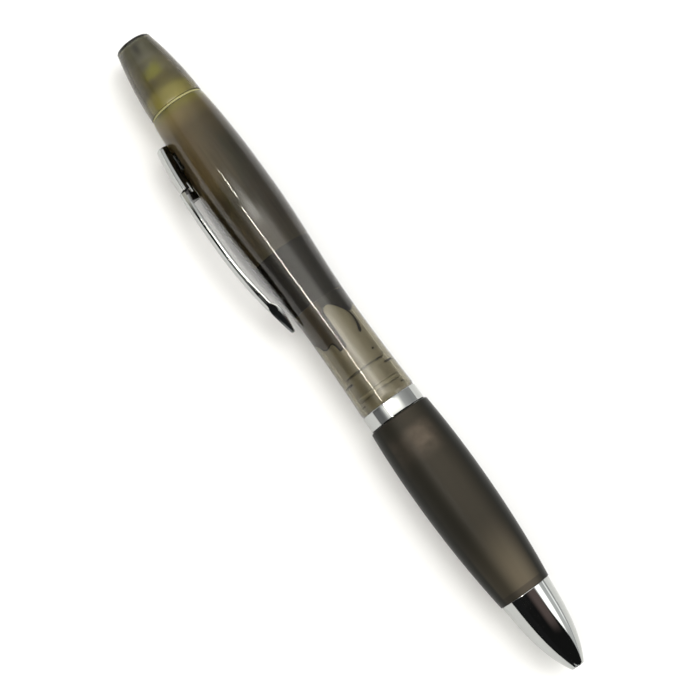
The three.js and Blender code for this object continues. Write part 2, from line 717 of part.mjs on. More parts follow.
// Clip: head, bowed arm and pad in one, with a foot through the barrel's slot and a hook inside
function makeClip() {
  const step = CLIP_BEVEL / 2;
  const padFlat = padStart + PAD_RISE;
  const padEnd = padFlat + PAD_FLAT;
  const stations = [
    clipStart,
    ...evenly(clipStart + CLIP_CORNER / 6, clipStart + CLIP_CORNER, 3),
    ...evenly(clipStart + CLIP_CORNER, headPlateEnd - step, 5).slice(1),
    headPlateEnd + step,
    headBack,
    ...evenly(headBack + step, clipPeak, 7),
    ...evenly(clipPeak, padStart, 8).slice(1),
    ...evenly(padStart, padFlat, 4).slice(1),
    padEnd,
    ...evenly(padEnd, clipEnd, 5).slice(1),
  ];
  const rings = stations.map((station) => {
    const isEnd = station === clipStart || station === clipEnd;
    const round = isEnd ? CLIP_END_ROUND : 0;
    const inner = clipInner(station) + round;
    const outer = clipOuter(station) - round;
    const half = clipHalfWidth(station) - round;
    const root = Math.min(clipRoot(station) - round, half);
    return clipSection(station, inner, outer, root, half, CLIP_CROWN - round);
  });
  const footStart = clipStart + FOOT_FROM_HEAD;
  const hookEnd = footStart + FOOT_LENGTH;
  const hookTop = barrelRadius(hookEnd - HOOK_LENGTH) - BARREL_WALL - HOOK_GAP;
  const foot = block(
    footStart,
    hookEnd,
    -clipInner(footStart) - 2 * CLIP_BEVEL,
    -hookTop + HOOK_THICKNESS,
    -FOOT_WIDTH / 2,
    FOOT_WIDTH / 2,
  );
  const hook = block(
    hookEnd - HOOK_LENGTH,
    hookEnd,
    -hookTop,
    -hookTop + HOOK_THICKNESS,
    -FOOT_WIDTH / 2,
    FOOT_WIDTH / 2,
  );
  const solid = toSolid(skin(rings)).add(toSolid(foot)).add(toSolid(hook));
  return piece("clip", toGeometry(solid), chrome);
}

function makeHousing() {
  const floorEnd = housingStart + HOUSING_FLOOR;
  const profile = [
    [housingStart, 0],
    [housingStart, housingRadius],
    [housingEnd, housingRadius],
    [housingEnd, housingBore],
    [floorEnd, housingBore],
    [floorEnd, 0],
  ];
  return piece("mechanism_housing", turned(profile), paleSmokePlastic);
}

// Height of the cam above its valleys, by the angle from a valley's middle
function camHeight(degrees) {
  const climbed = Math.min(Math.max(degrees - CAM_DWELL_DEGREES, 0), TWIST_DEGREES);
  return (TRAVEL * climbed) / TWIST_DEGREES;
}

// Cam: two ramps on the front face of a tube, half a turn apart
function makeCam() {
  const rampEnd = CAM_DWELL_DEGREES + TWIST_DEGREES;
  const dropStart = rampEnd + CAM_TOP_DEGREES;
  const steps = [0, ...evenly(CAM_DWELL_DEGREES, rampEnd, CAM_STEPS), dropStart];
  const faces = steps.map((angle) => [angle, camHeight(angle)]);
  faces.push([dropStart + CAM_DROP_DEGREES, 0]);
  const rings = [];
  for (let i = 0; i < CAM_RAMP_COUNT; i += 1) {
    for (const [angle, height] of faces) {
      const radians = THREE.MathUtils.degToRad(angle) + (2 * Math.PI * i) / CAM_RAMP_COUNT;
      const across = -Math.sin(radians);
      const up = Math.cos(radians);
      const face = valleyStation + height;
      rings.push([
        [camStart, camBore * across, camBore * up],
        [camStart, camRadius * across, camRadius * up],
        [face, camRadius * across, camRadius * up],
        [face, camBore * across, camBore * up],
      ]);
    }
  }
  return piece("twist_cam", skin(rings, true), whitePlastic);
}

// Guide sleeve: two slots, open at the rear, let the lugs slide but not turn
function makeGuideSleeve() {
  const guideEnd = headStart + COUPLING_BORE_LENGTH - FIT;
  const slotEnd = lugEnd + TRAVEL + CAM_GAP;
  const slotHalf = LUG_WIDTH / 2 + RUNNING_FIT;
  const body = toSolid(tube(guideStart, guideEnd, guideBore, guideRadius));
  const reach = guideRadius + CUT_REACH;
  const slot = block(guideStart - CUT_REACH, slotEnd, -slotHalf, slotHalf, -reach, reach);
  return piece("guide_sleeve", toGeometry(body.subtract(toSolid(slot))), whitePlastic);
}

// Plunger: a core with two lugs, bored from the front as a cup for the refill's rear end
function makePlunger() {
  const end = cupFloor + CUP_DEPTH;
  const reach = camRadius - FIT;
  const boreEnd = end + CUT_REACH;
  const core = toSolid(turned(rod(lugStart - PLUNGER_TAIL, end, plungerRadius)));
  const lugs = toSolid(block(lugStart, lugEnd, -LUG_WIDTH / 2, LUG_WIDTH / 2, -reach, reach));
  const bore = toSolid(turned(rod(cupFloor, boreEnd, cupRadius)));
  return piece("plunger", toGeometry(core.add(lugs).subtract(bore)), whitePlastic);
}

// Collar: fixed in the barrel, it holds the coupling's head back
function makeCollar() {
  const radius = barrelRadius(collarStart) - BARREL_WALL - FIT;
  return piece("retaining_collar", tube(collarStart, collarEnd, collarBore, radius), paleSmokePlastic);
}

// Coupling: head behind the collar, groove for the friction ring, seat of the centre ring, and
// spigot in the lower barrel
function makeCoupling() {
  const grooveFloor = couplingBody - 2 * FRICTION_RING_SECTION - FIT;
  const profile = [
    [headStart, couplingBore],
    [headStart, couplingHead - HEAD_CHAMFER],
    [headStart + HEAD_CHAMFER, couplingHead],
    [headEnd, couplingHead],
    [headEnd, couplingNeck],
    [collarEnd + RUNNING_FIT, couplingNeck],
    [collarEnd + RUNNING_FIT, grooveFloor],
    [grooveEnd, grooveFloor],
    [grooveEnd, couplingBody],
    [ringEnd, couplingBody],
    [ringEnd, COUPLING_SPIGOT_RADIUS],
    [couplingEnd, COUPLING_SPIGOT_RADIUS],
    [couplingEnd, couplingBore],
  ];
  return piece("coupling", turnedRing(profile), paleSmokePlastic);
}

// Friction ring: a rubber ring in the coupling's groove
function makeFrictionRing() {
  const middle = couplingBody - FRICTION_RING_SECTION;
  const geometry = new THREE.TorusGeometry(middle, FRICTION_RING_SECTION, 8, INNER_SEGMENTS);
  geometry.rotateY(Math.PI / 2);
  geometry.translate(grooveEnd - GROOVE_LENGTH / 2, 0, 0);
  return piece("friction_ring", geometry, smokeRubber);
}

function makeCentreRing() {
  const profile = [
    [ringStart, ringBore],
    [ringStart, ringRadius - RING_CHAMFER],
    [ringStart + RING_CHAMFER, ringRadius],
    [ringEnd - RING_CHAMFER, ringRadius],
    [ringEnd, ringRadius - RING_CHAMFER],
    [ringEnd, ringBore],
  ];
  return piece("centre_ring", turnedRing(profile, OUTER_SEGMENTS), chrome);
}

// Lower barrel: socket for the coupling, tapered tube, and spigot for the nose cone
function makeLowerBarrel() {
  const socketEnd = couplingEnd + FACE_GAP;
  const profile = [
    [gripStart, lowerSocket],
    [gripStart, lowerStartRadius],
    [gripEnd, lowerEndRadius],
    [gripEnd, SPIGOT_RADIUS],
    [coneStart + SPIGOT_LENGTH, SPIGOT_RADIUS],
    [coneStart + SPIGOT_LENGTH, LOWER_BORE_RADIUS],
    [socketEnd, LOWER_BORE_RADIUS],
    [socketEnd, lowerSocket],
  ];
  return piece("lower_barrel", turnedRing(profile), paleSmokePlastic);
}

// Grip: a soft sleeve with a rounded rear edge and a square front end
function makeGrip() {
  const bore = (station) => lowerRadius(station) + FIT;
  const shoulder = gripStart + GRIP_EDGE_ROUND;
  const edge = roundedEdge(gripStart, gripRadius(shoulder), GRIP_EDGE_ROUND, 3);
  const belly = gripStart + GRIP_BELLY_DISTANCE;
  const profile = [
    [gripStart, bore(gripStart)],
    ...edge,
    ...follow(gripRadius, shoulder, belly, 4).slice(1),
    ...follow(gripRadius, belly, gripEnd, 7).slice(1),
    [gripEnd, bore(gripEnd)],
  ];
  return piece("grip", turnedRing(profile, OUTER_SEGMENTS), frostedRubber);
}

// Nose cone: an ogive with a threaded seat, a spring chamber and a narrow mouth
function makeNoseCone() {
  const threadEnd = coneStart + THREAD_DEPTH;
  const cavity = (station) => Math.min(threadRadius, coneRadius(station) - CONE_WALL);
  const profile = [
    [coneStart, threadRadius],
    ...follow(coneRadius, coneStart, coneEnd - MOUTH_ROUND, 9),
    [coneEnd, mouthRadius],
    [coneEnd, mouthBore],
    [mouthStart, mouthBore],
    ...follow(cavity, mouthStart, threadEnd, 4),
  ];
  return piece("nose_cone", turnedRing(profile, OUTER_SEGMENTS), chrome);
}

function makeRefillTube() {
  const bore = REFILL_RADIUS - REFILL_WALL;
  const geometry = tube(refillStart, refillEnd, bore, REFILL_RADIUS, REFILL_SEGMENTS);
  return piece("refill_tube", geometry, refillPlastic);
}

function makeRefillInk() {
  const end = refillEnd - TIP_SPIGOT_LENGTH - FIT;
  const profile = rod(end - INK_LENGTH, end, inkRadius);
  return piece("refill_ink", turned(profile, REFILL_SEGMENTS), blueInk);
}

// Tip holder: spigot in the tube, flange for the spring, body, shank and the ball's socket
function makeTipHolder() {
  const socket = BALL_RADIUS + SOCKET_GAP;
  const mouthHalf = Math.sqrt(socket ** 2 - (rimStation - ballStation) ** 2);
  const mouthAngle = Math.acos((rimStation - ballStation) / socket);
  const hollow = evenly(mouthAngle, Math.PI, 4).map((angle) => [
    ballStation + socket * Math.cos(angle),
    socket * Math.sin(angle),
  ]);
  const spigotStart = refillEnd - TIP_SPIGOT_LENGTH;
  const profile = [
    [spigotStart, 0],
    [spigotStart, inkRadius],
    [tipFlangeStart, inkRadius],
    [tipFlangeStart, TIP_FLANGE_RADIUS],
    [bodyStart, TIP_FLANGE_RADIUS],
    [bodyStart, TIP_BODY_RADIUS],
    [shankStart, TIP_BODY_RADIUS],
    [shankStart, TIP_SHANK_RADIUS],
    [shankEnd, TIP_SHANK_RADIUS],
    [rimStation, mouthHalf + SOCKET_RIM],
    [rimStation, mouthHalf],
    ...hollow.slice(1, -1),
    [ballStation - socket, 0],
  ];
  return piece("tip_holder", turned(profile, REFILL_SEGMENTS), brass);
}

function makeBall() {
  const geometry = new THREE.SphereGeometry(BALL_RADIUS, 10, 6);
  geometry.rotateZ(-Math.PI / 2);
  geometry.translate(ballStation, 0, 0);
  return piece("writing_ball", geometry, steel);
}

// Return spring: one unbroken coil between the tip's flange and the end of the spring chamber
function makeSpring() {
  const start = bodyStart + FACE_GAP + SPRING_WIRE / 2;
  const end = mouthStart - FACE_GAP - SPRING_WIRE / 2;
  const coilRadius = TIP_BODY_RADIUS + SPRING_CLEARANCE + SPRING_WIRE / 2;
  const steps = SPRING_TURNS * SPRING_STEPS_PER_TURN;
  const slope = (end - start) / (SPRING_TURNS * 2 * Math.PI * coilRadius);
  const rings = evenly(0, 1, steps).map((share) => {
    const angle = 2 * Math.PI * SPRING_TURNS * share;
    const outward = new THREE.Vector3(0, Math.cos(angle), Math.sin(angle));
    const along = new THREE.Vector3(slope, -Math.sin(angle), Math.cos(angle)).normalize();
    const across = new THREE.Vector3().crossVectors(outward, along);
    const middle = outward.clone().multiplyScalar(coilRadius).setX(start + (end - start) * share);
    return Array.from({ length: SPRING_SIDES }, (_, k) => {
      const turn = (2 * Math.PI * k) / SPRING_SIDES;
      return middle
        .clone()
        .addScaledVector(outward, (Math.cos(turn) * SPRING_WIRE) / 2)
        .addScaledVector(across, (Math.sin(turn) * SPRING_WIRE) / 2)
        .toArray();
    });
  });
  return piece("return_spring", skin(rings), steel);
}

// The origin is under the middle of the pen, on the surface that it lies on
const clipReach = bellyRadius + CLIP_ARM_GAP + CLIP_THICKNESS + CLIP_CROWN;
const pen = new THREE.Group();
pen.position.set(-coneEnd / 2, (clipReach - gripBellyRadius) / 2, gripBellyRadius);
pen.add(
  makeCap(),
  makeCapLiner(),
  makeNib(),
  makeNibHolder(),
  makeFiller(),
  makeWrap(),
  makeChamberPlug(),
  makeBarrel(),
  makeClip(),
  makeHousing(),
  makeCam(),
  makeCollar(),
  makeGuideSleeve(),
  makePlunger(),
  makeCoupling(),
  makeFrictionRing(),
  makeCentreRing(),
  makeLowerBarrel(),
  makeGrip(),
  makeNoseCone(),
  makeRefillTube(),
  makeRefillInk(),
  makeTipHolder(),
  makeBall(),
  makeSpring(),
);

export default pen;
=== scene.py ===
import math

import bpy
import numpy as np
from mathutils import Matrix, Vector


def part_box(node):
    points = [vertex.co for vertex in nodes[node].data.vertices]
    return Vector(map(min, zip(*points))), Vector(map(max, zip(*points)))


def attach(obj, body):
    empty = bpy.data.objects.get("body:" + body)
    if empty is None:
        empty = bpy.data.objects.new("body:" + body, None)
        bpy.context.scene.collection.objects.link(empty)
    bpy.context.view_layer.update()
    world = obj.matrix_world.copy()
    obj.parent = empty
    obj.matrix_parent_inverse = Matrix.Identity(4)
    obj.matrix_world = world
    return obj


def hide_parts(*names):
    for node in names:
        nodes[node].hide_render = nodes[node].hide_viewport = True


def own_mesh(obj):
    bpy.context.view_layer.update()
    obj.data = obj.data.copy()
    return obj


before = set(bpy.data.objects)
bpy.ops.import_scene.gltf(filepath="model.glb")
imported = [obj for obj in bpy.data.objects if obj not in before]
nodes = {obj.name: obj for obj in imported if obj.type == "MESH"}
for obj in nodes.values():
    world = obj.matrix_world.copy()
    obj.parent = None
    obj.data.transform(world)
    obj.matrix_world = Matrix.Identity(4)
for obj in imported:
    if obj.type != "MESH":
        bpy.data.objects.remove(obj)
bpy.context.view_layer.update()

scene = bpy.context.scene


# Camera: it looks down on the pen from the clip side, 14 degrees off the vertical, and stands over
# the grip. Its lens and its distance are those at which the seams and the ring bow as photographed.
PEN_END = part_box("cap")[0].x
PEN_Y, PEN_Z = ((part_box("cap")[0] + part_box("cap")[1]) / 2).yz
MM = 0.001
CAMERA_STATION = 111.2
CAMERA_DISTANCE = 0.3685
CAMERA_TILT = math.radians(14.0)
CAMERA_LEAN = math.radians(5.9)
CAMERA_ASIDE = 0.00025
FOCAL_PIXELS = 1950.0
PICTURE_PIXELS = 700.0
SENSOR = 36.0
PEN_IN_PICTURE = (0.5826, -0.8125)

towards_camera = Vector((0, -math.sin(CAMERA_TILT), math.cos(CAMERA_TILT)))
back = towards_camera * math.cos(CAMERA_LEAN) + Vector((1, 0, 0)) * math.sin(CAMERA_LEAN)
along = (Vector((1, 0, 0)) - back * back.x).normalized()
aside = along.cross(back)
right = along * PEN_IN_PICTURE[0] + aside * PEN_IN_PICTURE[1]
up = along * PEN_IN_PICTURE[1] - aside * PEN_IN_PICTURE[0]
foot = Vector((PEN_END + CAMERA_STATION * MM, PEN_Y, PEN_Z))
lens = bpy.data.cameras.new("camera")
lens.sensor_width = SENSOR
lens.lens = SENSOR * FOCAL_PIXELS / PICTURE_PIXELS
lens.clip_start = 0.01
camera = bpy.data.objects.new("camera", lens)
stand = Matrix.Translation(foot + towards_camera * CAMERA_DISTANCE + aside * CAMERA_ASIDE)
camera.matrix_world = stand @ Matrix((right, up, back)).transposed().to_4x4()
scene.collection.objects.link(camera)
scene.camera = camera


# Cap: a moulded shell of clear smoke plastic with a flat, round-edged end. It slides over the
# highlighter's neck and snaps on its bead. The gate of the mould left a stub inside the flat end.
CAP_LENGTH = 15.0
CAP_WALL = 0.9


def part(station, first, last):
    """The part of the way from first to last that a station has come, from 0 to 1."""
    return np.clip((station - first) / (last - first), 0, 1)


def ease_out(station, first, last, power):
    """That part, quick at first and slowing down by a power of the way that is left."""
    return 1 - (1 - part(station, first, last)) ** power


def cap_radius(station):
    """Radius of the cap: from 3.62 at the flat end it rises by 2.05 along an ease-out curve."""
    return 3.62 + 2.05 * ease_out(station, 0, CAP_LENGTH, 1.75)


def rounded(points, size, loop):
    """Each corner of a polyline becomes a quadratic curve that starts and ends at size from the
    corner, or at two fifths of a shorter side. points has shape (..., corners, 2)."""
    before = np.roll(points, 1, axis=-2) - points
    after = np.roll(points, -1, axis=-2) - points
    length_before = np.linalg.norm(before, axis=-1, keepdims=True) + 1e-9
    length_after = np.linalg.norm(after, axis=-1, keepdims=True) + 1e-9
    start = points + before / length_before * np.minimum(size, 0.4 * length_before)
    end = points + after / length_after * np.minimum(size, 0.4 * length_after)
    share = np.linspace(0, 1, 5).reshape(5, 1)
    start, middle, end = (p[..., None, :] for p in (start, points, end))
    curve = (1 - share) ** 2 * start + 2 * share * (1 - share) * middle + share**2 * end
    if loop:
        return curve.reshape(*points.shape[:-2], -1, 2)
    inner = curve[..., 1:-1, :, :].reshape(*points.shape[:-2], -1, 2)
    return np.concatenate([points[..., :1, :], inner, points[..., -1:, :]], axis=-2)


def placed(station, aside, height):
    """Places by their stations along the pen, their distances from its axis towards the clip and
    their heights over it, all in mm: x grows with the station and y falls with the distance."""
    places = PEN_END + station * MM, PEN_Y - aside * MM, PEN_Z + height * MM
    return np.stack(np.broadcast_arrays(*places), axis=-1)


def on_pen(station, radius, angle):
    """Places by their stations and radii, in mm, and their angles from the top towards the clip,
    whose sine and cosine times the radius are the distance and the height."""
    return placed(station, radius * np.sin(angle), radius * np.cos(angle))


def put_in(name, points, faces):
    """A mesh object of these points and faces, turned so that its volume is positive, smooth but
    for its sharp edges."""
    corners = [points[faces[:, k]] for k in range(faces.shape[1])]
    volume = sum(
        np.einsum("ij,ij->i", corners[0], np.cross(corners[k], corners[k + 1])).sum()
        for k in range(1, faces.shape[1] - 1)
    )
    if volume < 0:
        faces = faces[:, ::-1]
    mesh = bpy.data.meshes.new(name)
    # Known fault: a reversed fan keeps its doubled corner, and the export leaves such faces out.
    same = faces[:, 2] == faces[:, -1]
    mesh.from_pydata(points.tolist(), [], faces[~same].tolist() + faces[same][:, :3].tolist())
    mesh.shade_smooth()
    mesh.set_sharp_from_angle(angle=math.radians(38))
    piece = bpy.data.objects.new(name, mesh)
    scene.collection.objects.link(piece)
    return piece


def skin(name, grid, loop, ends=None):
    """A closed skin over a grid of rings: four neighbours make a face, each ring closes on itself,
    and the last ring meets the first, or both are closed by fans to the two end points."""
    rings, sides = grid.shape[:2]
    index = np.arange(rings * sides).reshape(rings, sides)
    aside = np.roll(index, -1, axis=1)
    faces = np.stack([index, np.roll(index, -1, axis=0), np.roll(aside, -1, axis=0), aside], axis=-1)
    points = grid.reshape(-1, 3)
    if loop:
        return put_in(name, points, faces.reshape(-1, 4))
    ends = grid[[0, -1]].mean(axis=1) if ends is None else ends
    first, last = np.full(sides, rings * sides), np.full(sides, rings * sides + 1)
    fans = [
        np.stack([first, index[0], aside[0], aside[0]], axis=-1),
        np.stack([last, aside[-1], index[-1], index[-1]], axis=-1),
    ]
    faces = np.concatenate([faces[:-1].reshape(-1, 4), *fans])
    return put_in(name, np.concatenate([points, ends]), faces)


def circle(sides):
    """The angles of that many equal steps round a circle."""
    return np.linspace(0, 2 * np.pi, sides, endpoint=False)


def turned(name, profile, rounding=0.06, sides=96):
    """A surface of revolution: each point of the profile, a station and a radius in mm, is carried
    round the pen's axis. A profile that starts on the axis also ends there; others are loops."""
    profile = np.array(profile, float)
    loop = profile[0, 1] > 0
    line = rounded(profile, rounding, loop)
    angle = circle(sides)
    rings = line if loop else line[1:-1]
    grid = on_pen(rings[:, :1], rings[:, 1:], angle)
    ends = None if loop else on_pen(line[[0, -1], 0], line[[0, -1], 1], 0)
    return skin(name, grid, loop, ends)


def follow(radius_at, first, last, count):
    """Stations from first to last in equal steps, each with its radius."""
    station = np.linspace(first, last, count)
    return np.stack([station, radius_at(station)], axis=-1).tolist()


def quarter(station, radius, size):
    """A quarter round from an end face at a station to the side, at the given radius."""
    angle = np.linspace(np.pi / 2, 0, 7)
    return np.stack([station + size * (1 - np.sin(angle)), radius - size * (1 - np.cos(angle))], -1).tolist()


def new_group(name, inputs, output):
    """An empty node group with number inputs, each with its usual value, and one number output."""
    tree = bpy.data.node_groups.new(name, "ShaderNodeTree")
    for label, value in inputs.items():
        tree.interface.new_socket(label, in_out="INPUT", socket_type="NodeSocketFloat").default_value = value
    tree.interface.new_socket(output, in_out="OUTPUT", socket_type="NodeSocketFloat")
    return tree, tree.nodes.new("NodeGroupInput"), tree.nodes.new("NodeGroupOutput")


def add(tree, kind, links=(), **settings):
    """A node of that kind: settings names its properties, links gives values or sockets by input."""
    node = tree.nodes.new("ShaderNode" + kind)
    for label, value in settings.items():
        setattr(node, label, value)
    for label, value in dict(links).items():
        if isinstance(value, bpy.types.NodeSocket):
            tree.links.new(value, node.inputs[label])
        else:
            node.inputs[label].default_value = value
    return node


def compute(tree, operation, *values):
    """The outcome of a sum on values or sockets."""
    return add(tree, "Math", dict(enumerate(values)), operation=operation).outputs[0]


def ramp(tree, value, low, high, soft=False):
    """How far a value has come from low to high, from 0 to 1, easing in and out where soft."""
    limits = {0: value, "From Min": low, "From Max": high}
    kind = "SMOOTHSTEP" if soft else "LINEAR"
    return add(tree, "MapRange", limits, interpolation_type=kind).outputs[0]


def streaks_group():
    """Noise stretched along the pen, from 0 to 1: flow lines of a mould, fibres or smudges."""
    tree, given, result = new_group("streaks", {"Size mm": 1.0, "Stretch": 4.0, "Detail": 2.0}, "Value")
    apart = add(tree, "SeparateXYZ", {0: add(tree, "TexCoord").outputs["Object"]})
    shorter = compute(tree, "DIVIDE", apart.outputs[0], given.outputs["Stretch"])
    stretched = add(tree, "CombineXYZ", {0: shorter, 1: apart.outputs[1], 2: apart.outputs[2]})
    scale = compute(tree, "DIVIDE", 1 / MM, given.outputs["Size mm"])
    noise = add(tree, "TexNoise", {
        "Vector": stretched.outputs[0], "Scale": scale, "Detail": given.outputs["Detail"],
    })
    tree.links.new(noise.outputs["Fac"], result.inputs[0])
    return tree


def scratches_group():
    """Hairline scratches from handling: the crests of two stretched noises, one along the pen and
    one askew, kept where a third, broad noise is high."""
    tree, given, result = new_group("scratches", {"Size mm": 0.3}, "Mask")
    place = add(tree, "TexCoord").outputs["Object"]
    scale = compute(tree, "DIVIDE", 1 / MM, given.outputs["Size mm"])
    crests = []
    for turn, stretch in ((0.35, 0.05), (-0.9, 0.08)):
        askew = add(tree, "Mapping", {0: place, "Rotation": (turn, 0.2, turn), "Scale": (stretch, 1, 1)})
        noise = add(tree, "TexNoise", {"Vector": askew.outputs[0], "Scale": scale, "Detail": 1.0})
        crests.append(ramp(tree, noise.outputs["Fac"], 0.68, 0.74))
    broad = add(tree, "TexNoise", {"Vector": place, "Scale": 160.0, "Detail": 2.0}).outputs["Fac"]
    kept = compute(tree, "MULTIPLY", compute(tree, "MAXIMUM", *crests), ramp(tree, broad, 0.45, 0.7))
    tree.links.new(kept, result.inputs[0])
    return tree


def stations_group():
    """How far a point lies between two stations of the pen, from 0 to 1, with soft ends."""
    tree, given, result = new_group("between_stations", {"From mm": 0.0, "To mm": 1.0}, "Share")
    apart = add(tree, "SeparateXYZ", {0: add(tree, "TexCoord").outputs["Object"]})
    station = compute(tree, "DIVIDE", compute(tree, "SUBTRACT", apart.outputs[0], PEN_END), MM)
    share = ramp(tree, station, given.outputs["From mm"], given.outputs["To mm"], soft=True)
    tree.links.new(share, result.inputs[0])
    return tree


def angles_group():
    """How far a point lies between two angles round the pen, counted from the top towards the
    clip, from 0 to 1, with soft ends."""
    tree, given, result = new_group("between_angles", {"From deg": 0.0, "To deg": 90.0}, "Share")
    apart = add(tree, "SeparateXYZ", {0: add(tree, "TexCoord").outputs["Object"]})
    outward = compute(tree, "SUBTRACT", PEN_Y, apart.outputs[1])
    upward = compute(tree, "SUBTRACT", apart.outputs[2], PEN_Z)
    degrees = compute(tree, "DEGREES", compute(tree, "ARCTAN2", outward, upward))
    share = ramp(tree, degrees, given.outputs["From deg"], given.outputs["To deg"], soft=True)
    tree.links.new(share, result.inputs[0])
    return tree


streaks = streaks_group()
scratches = scratches_group()
between_stations = stations_group()
between_angles = angles_group()


def material(name, roughness, **sockets):
    """A new material and its Principled shader, with plain values on the shader's sockets."""
    made = bpy.data.materials.new(name)
    made.use_nodes = True
    shader = made.node_tree.nodes["Principled BSDF"]
    shader.inputs["Roughness"].default_value = roughness
    for label, value in sockets.items():
        shader.inputs[label.replace("_", " ")].default_value = value
    return made, made.node_tree, shader


def grouped(tree, group, **values):
    """The output of a group node placed in this tree, with its own values."""
    node = tree.nodes.new("ShaderNodeGroup")
    node.node_tree = group
    for label, value in values.items():
        node.inputs[label.replace("_", " ")].default_value = value
    return node.outputs[0]


def streaked(tree, size, stretch, detail=2.0):
    """Streaks of a size in mm, stretched along the pen."""
    return grouped(tree, streaks, Size_mm=size, Stretch=stretch, Detail=detail)


def along_pen(tree, first, last):
    """How far a point has come from one station to another, in mm."""
    return grouped(tree, between_stations, From_mm=first, To_mm=last)


def round_pen(tree, first, last):
    """How far a point has come from one angle to another, in degrees."""
    return grouped(tree, between_angles, From_deg=first, To_deg=last)


def colour_by(tree, share, low, high):
    """Mixes two colours, each a colour or a socket, by a share from 0 to 1."""
    node = add(tree, "Mix", data_type="RGBA", clamp_factor=True)
    tree.links.new(share, node.inputs["Factor"])
    for socket, colour in ((node.inputs[6], low), (node.inputs[7], high)):
        if isinstance(colour, bpy.types.NodeSocket):
            tree.links.new(colour, socket)
        else:
            socket.default_value = (*colour, 1)
    return node.outputs[2]


def value_by(tree, share, low, high):
    """Carries a share from 0 to 1 over to the range from low to high."""
    return add(tree, "MapRange", {0: share, "To Min": low, "To Max": high}).outputs[0]


def paint(tree, shader, share, low, high, socket="Base Color"):
    """Gives a colour socket of the shader a mix of two colours by a share from 0 to 1."""
    tree.links.new(colour_by(tree, share, low, high), shader.inputs[socket])


def bump(tree, shader, height, distance_mm):
    """Bumps the shader's normal by a height from 0 to 1 that stands for a distance in mm."""
    node = add(tree, "Bump", {"Height": height, "Distance": distance_mm * MM, "Strength": 1.0})
    tree.links.new(node.outputs[0], shader.inputs["Normal"])


def mottled(name, roughness, size, stretch, low, high, relief=0.0, grain=None, **sockets):
    """A material whose colour drifts between two, in streaks of a size in mm. The streaks, or an
    even grain of its own size, stand up by the relief in mm."""
    made, tree, shader = material(name, roughness, **sockets)
    drift = streaked(tree, size, stretch)
    paint(tree, shader, drift, low, high)
    if relief:
        bump(tree, shader, streaked(tree, grain, 1.0) if grain else drift, relief)
    return made


def smoke_plastic():
    """Clear brown-grey plastic: it absorbs light by its depth, blue most. Its outside is glossy, with
    hairline scratches and faint mould waves. Its bore, marked by the attribute, is satin in the cap and
    smooth in the barrel. Towards the cap's flat end its colour is painted greyer and cloudy, as painted shade
    for the shadowed floor seen through it."""
    made, tree, shader = material("smoke_plastic", 0.04, Transmission_Weight=1.0, IOR=1.47)
    # Painted shade: the cap's flat end is tinted greyer for the shadowed floor seen through it.
    painted_end_shade = along_pen(tree, 2.8, 6.5)
    clouds = streaked(tree, 2.0, 3.0, 2.0)
    shaded_end_tint = colour_by(tree, clouds, (0.57, 0.59, 0.57), (0.7, 0.71, 0.68))
    paint(tree, shader, painted_end_shade, shaded_end_tint, (1.0, 1.0, 1.0))
    bore = add(tree, "Attribute", attribute_name="bore").outputs["Fac"]
    gloss = value_by(tree, grouped(tree, scratches), 0.012, 0.2)
    satin = value_by(tree, along_pen(tree, 15.0, 16.0), 0.55, 0.1)
    tree.links.new(value_by(tree, bore, gloss, satin), shader.inputs["Roughness"])
    bump(tree, shader, streaked(tree, 2.5, 8.0, 1.0), 0.0009)
    depth = add(tree, "VolumeAbsorption", {"Color": (0.335, 0.285, 0.09, 1), "Density": 1100.0})
    tree.links.new(depth.outputs[0], tree.nodes["Material Output"].inputs["Volume"])
    return made


def measure(items, field):
    """The stations, the distances from the axis and the distances towards the clip, in mm, of a
    mesh's points or faces."""
    flat = np.zeros(len(items) * 3)
    items.foreach_get(field, flat)
    x, y, z = flat.reshape(-1, 3).T
    return (x - PEN_END) / MM, np.hypot(y - PEN_Y, z - PEN_Z) / MM, (PEN_Y - y) / MM


def mark(piece, name, mask):
    """Stores an attribute that is 1 at the points of a mask."""
    piece.data.attributes.new(name, "FLOAT", "POINT").data.foreach_set("value", mask.astype(float))


def finish_piece(piece, look, slot, body, *replaced):
    """Gives a new piece its material and its body, and hides the CAD nodes that it stands for. The slot is
    not used.
    """
    piece.data.materials.append(look)
    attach(piece, body)
    if replaced:
        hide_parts(*replaced)
    return piece


smoke = smoke_plastic()
CAP_END_WALL, CAP_EDGE = 0.6, 0.6
cap_line = [
    [0, 0],
    *quarter(0, cap_radius(CAP_EDGE), CAP_EDGE),
    *follow(cap_radius, CAP_EDGE, CAP_LENGTH, 30)[1:],
    *follow(lambda s: cap_radius(s) - CAP_WALL, CAP_LENGTH, CAP_END_WALL, 30),
    [CAP_END_WALL, 0],
]
cap_shell = turned("cap_shell", cap_line, sides=128)
station, radius, _ = measure(cap_shell.data.vertices, "co")
in_wall = radius < cap_radius(station) - CAP_WALL / 2
mark(cap_shell, "bore", in_wall & (station >= CAP_END_WALL + 0.1))
finish_piece(cap_shell, smoke, "smoke_plastic", "cap", "cap")

dark_stub = mottled("gate_stub", 0.4, 0.4, 1.0, (0.02, 0.018, 0.014), (0.05, 0.045, 0.035))
stub_line = [[0.61, 0], [0.61, 0.75], [2.6, 0.5], [2.9, 0.3], [2.9, 0]]
finish_piece(turned("gate_stub", stub_line, sides=32), dark_stub, "dark_plastic", "cap")


# Liner: a thin cup of paler, clear plastic pressed into the cap, which seals it on the snout.
def pale_smoke_plastic():
    """Pale, cloudy smoke plastic: its colour drifts along the mould's flow, its surface is satin."""
    made, tree, shader = material("pale_smoke_plastic", 0.35, IOR=1.5)
    flow = streaked(tree, 2.2, 3.0, 3.0)
    paint(tree, shader, flow, (0.47, 0.44, 0.37), (0.68, 0.65, 0.57))
    tree.links.new(value_by(tree, grouped(tree, scratches), 0.3, 0.5), shader.inputs["Roughness"])
    bump(tree, shader, flow, 0.02)
    return made


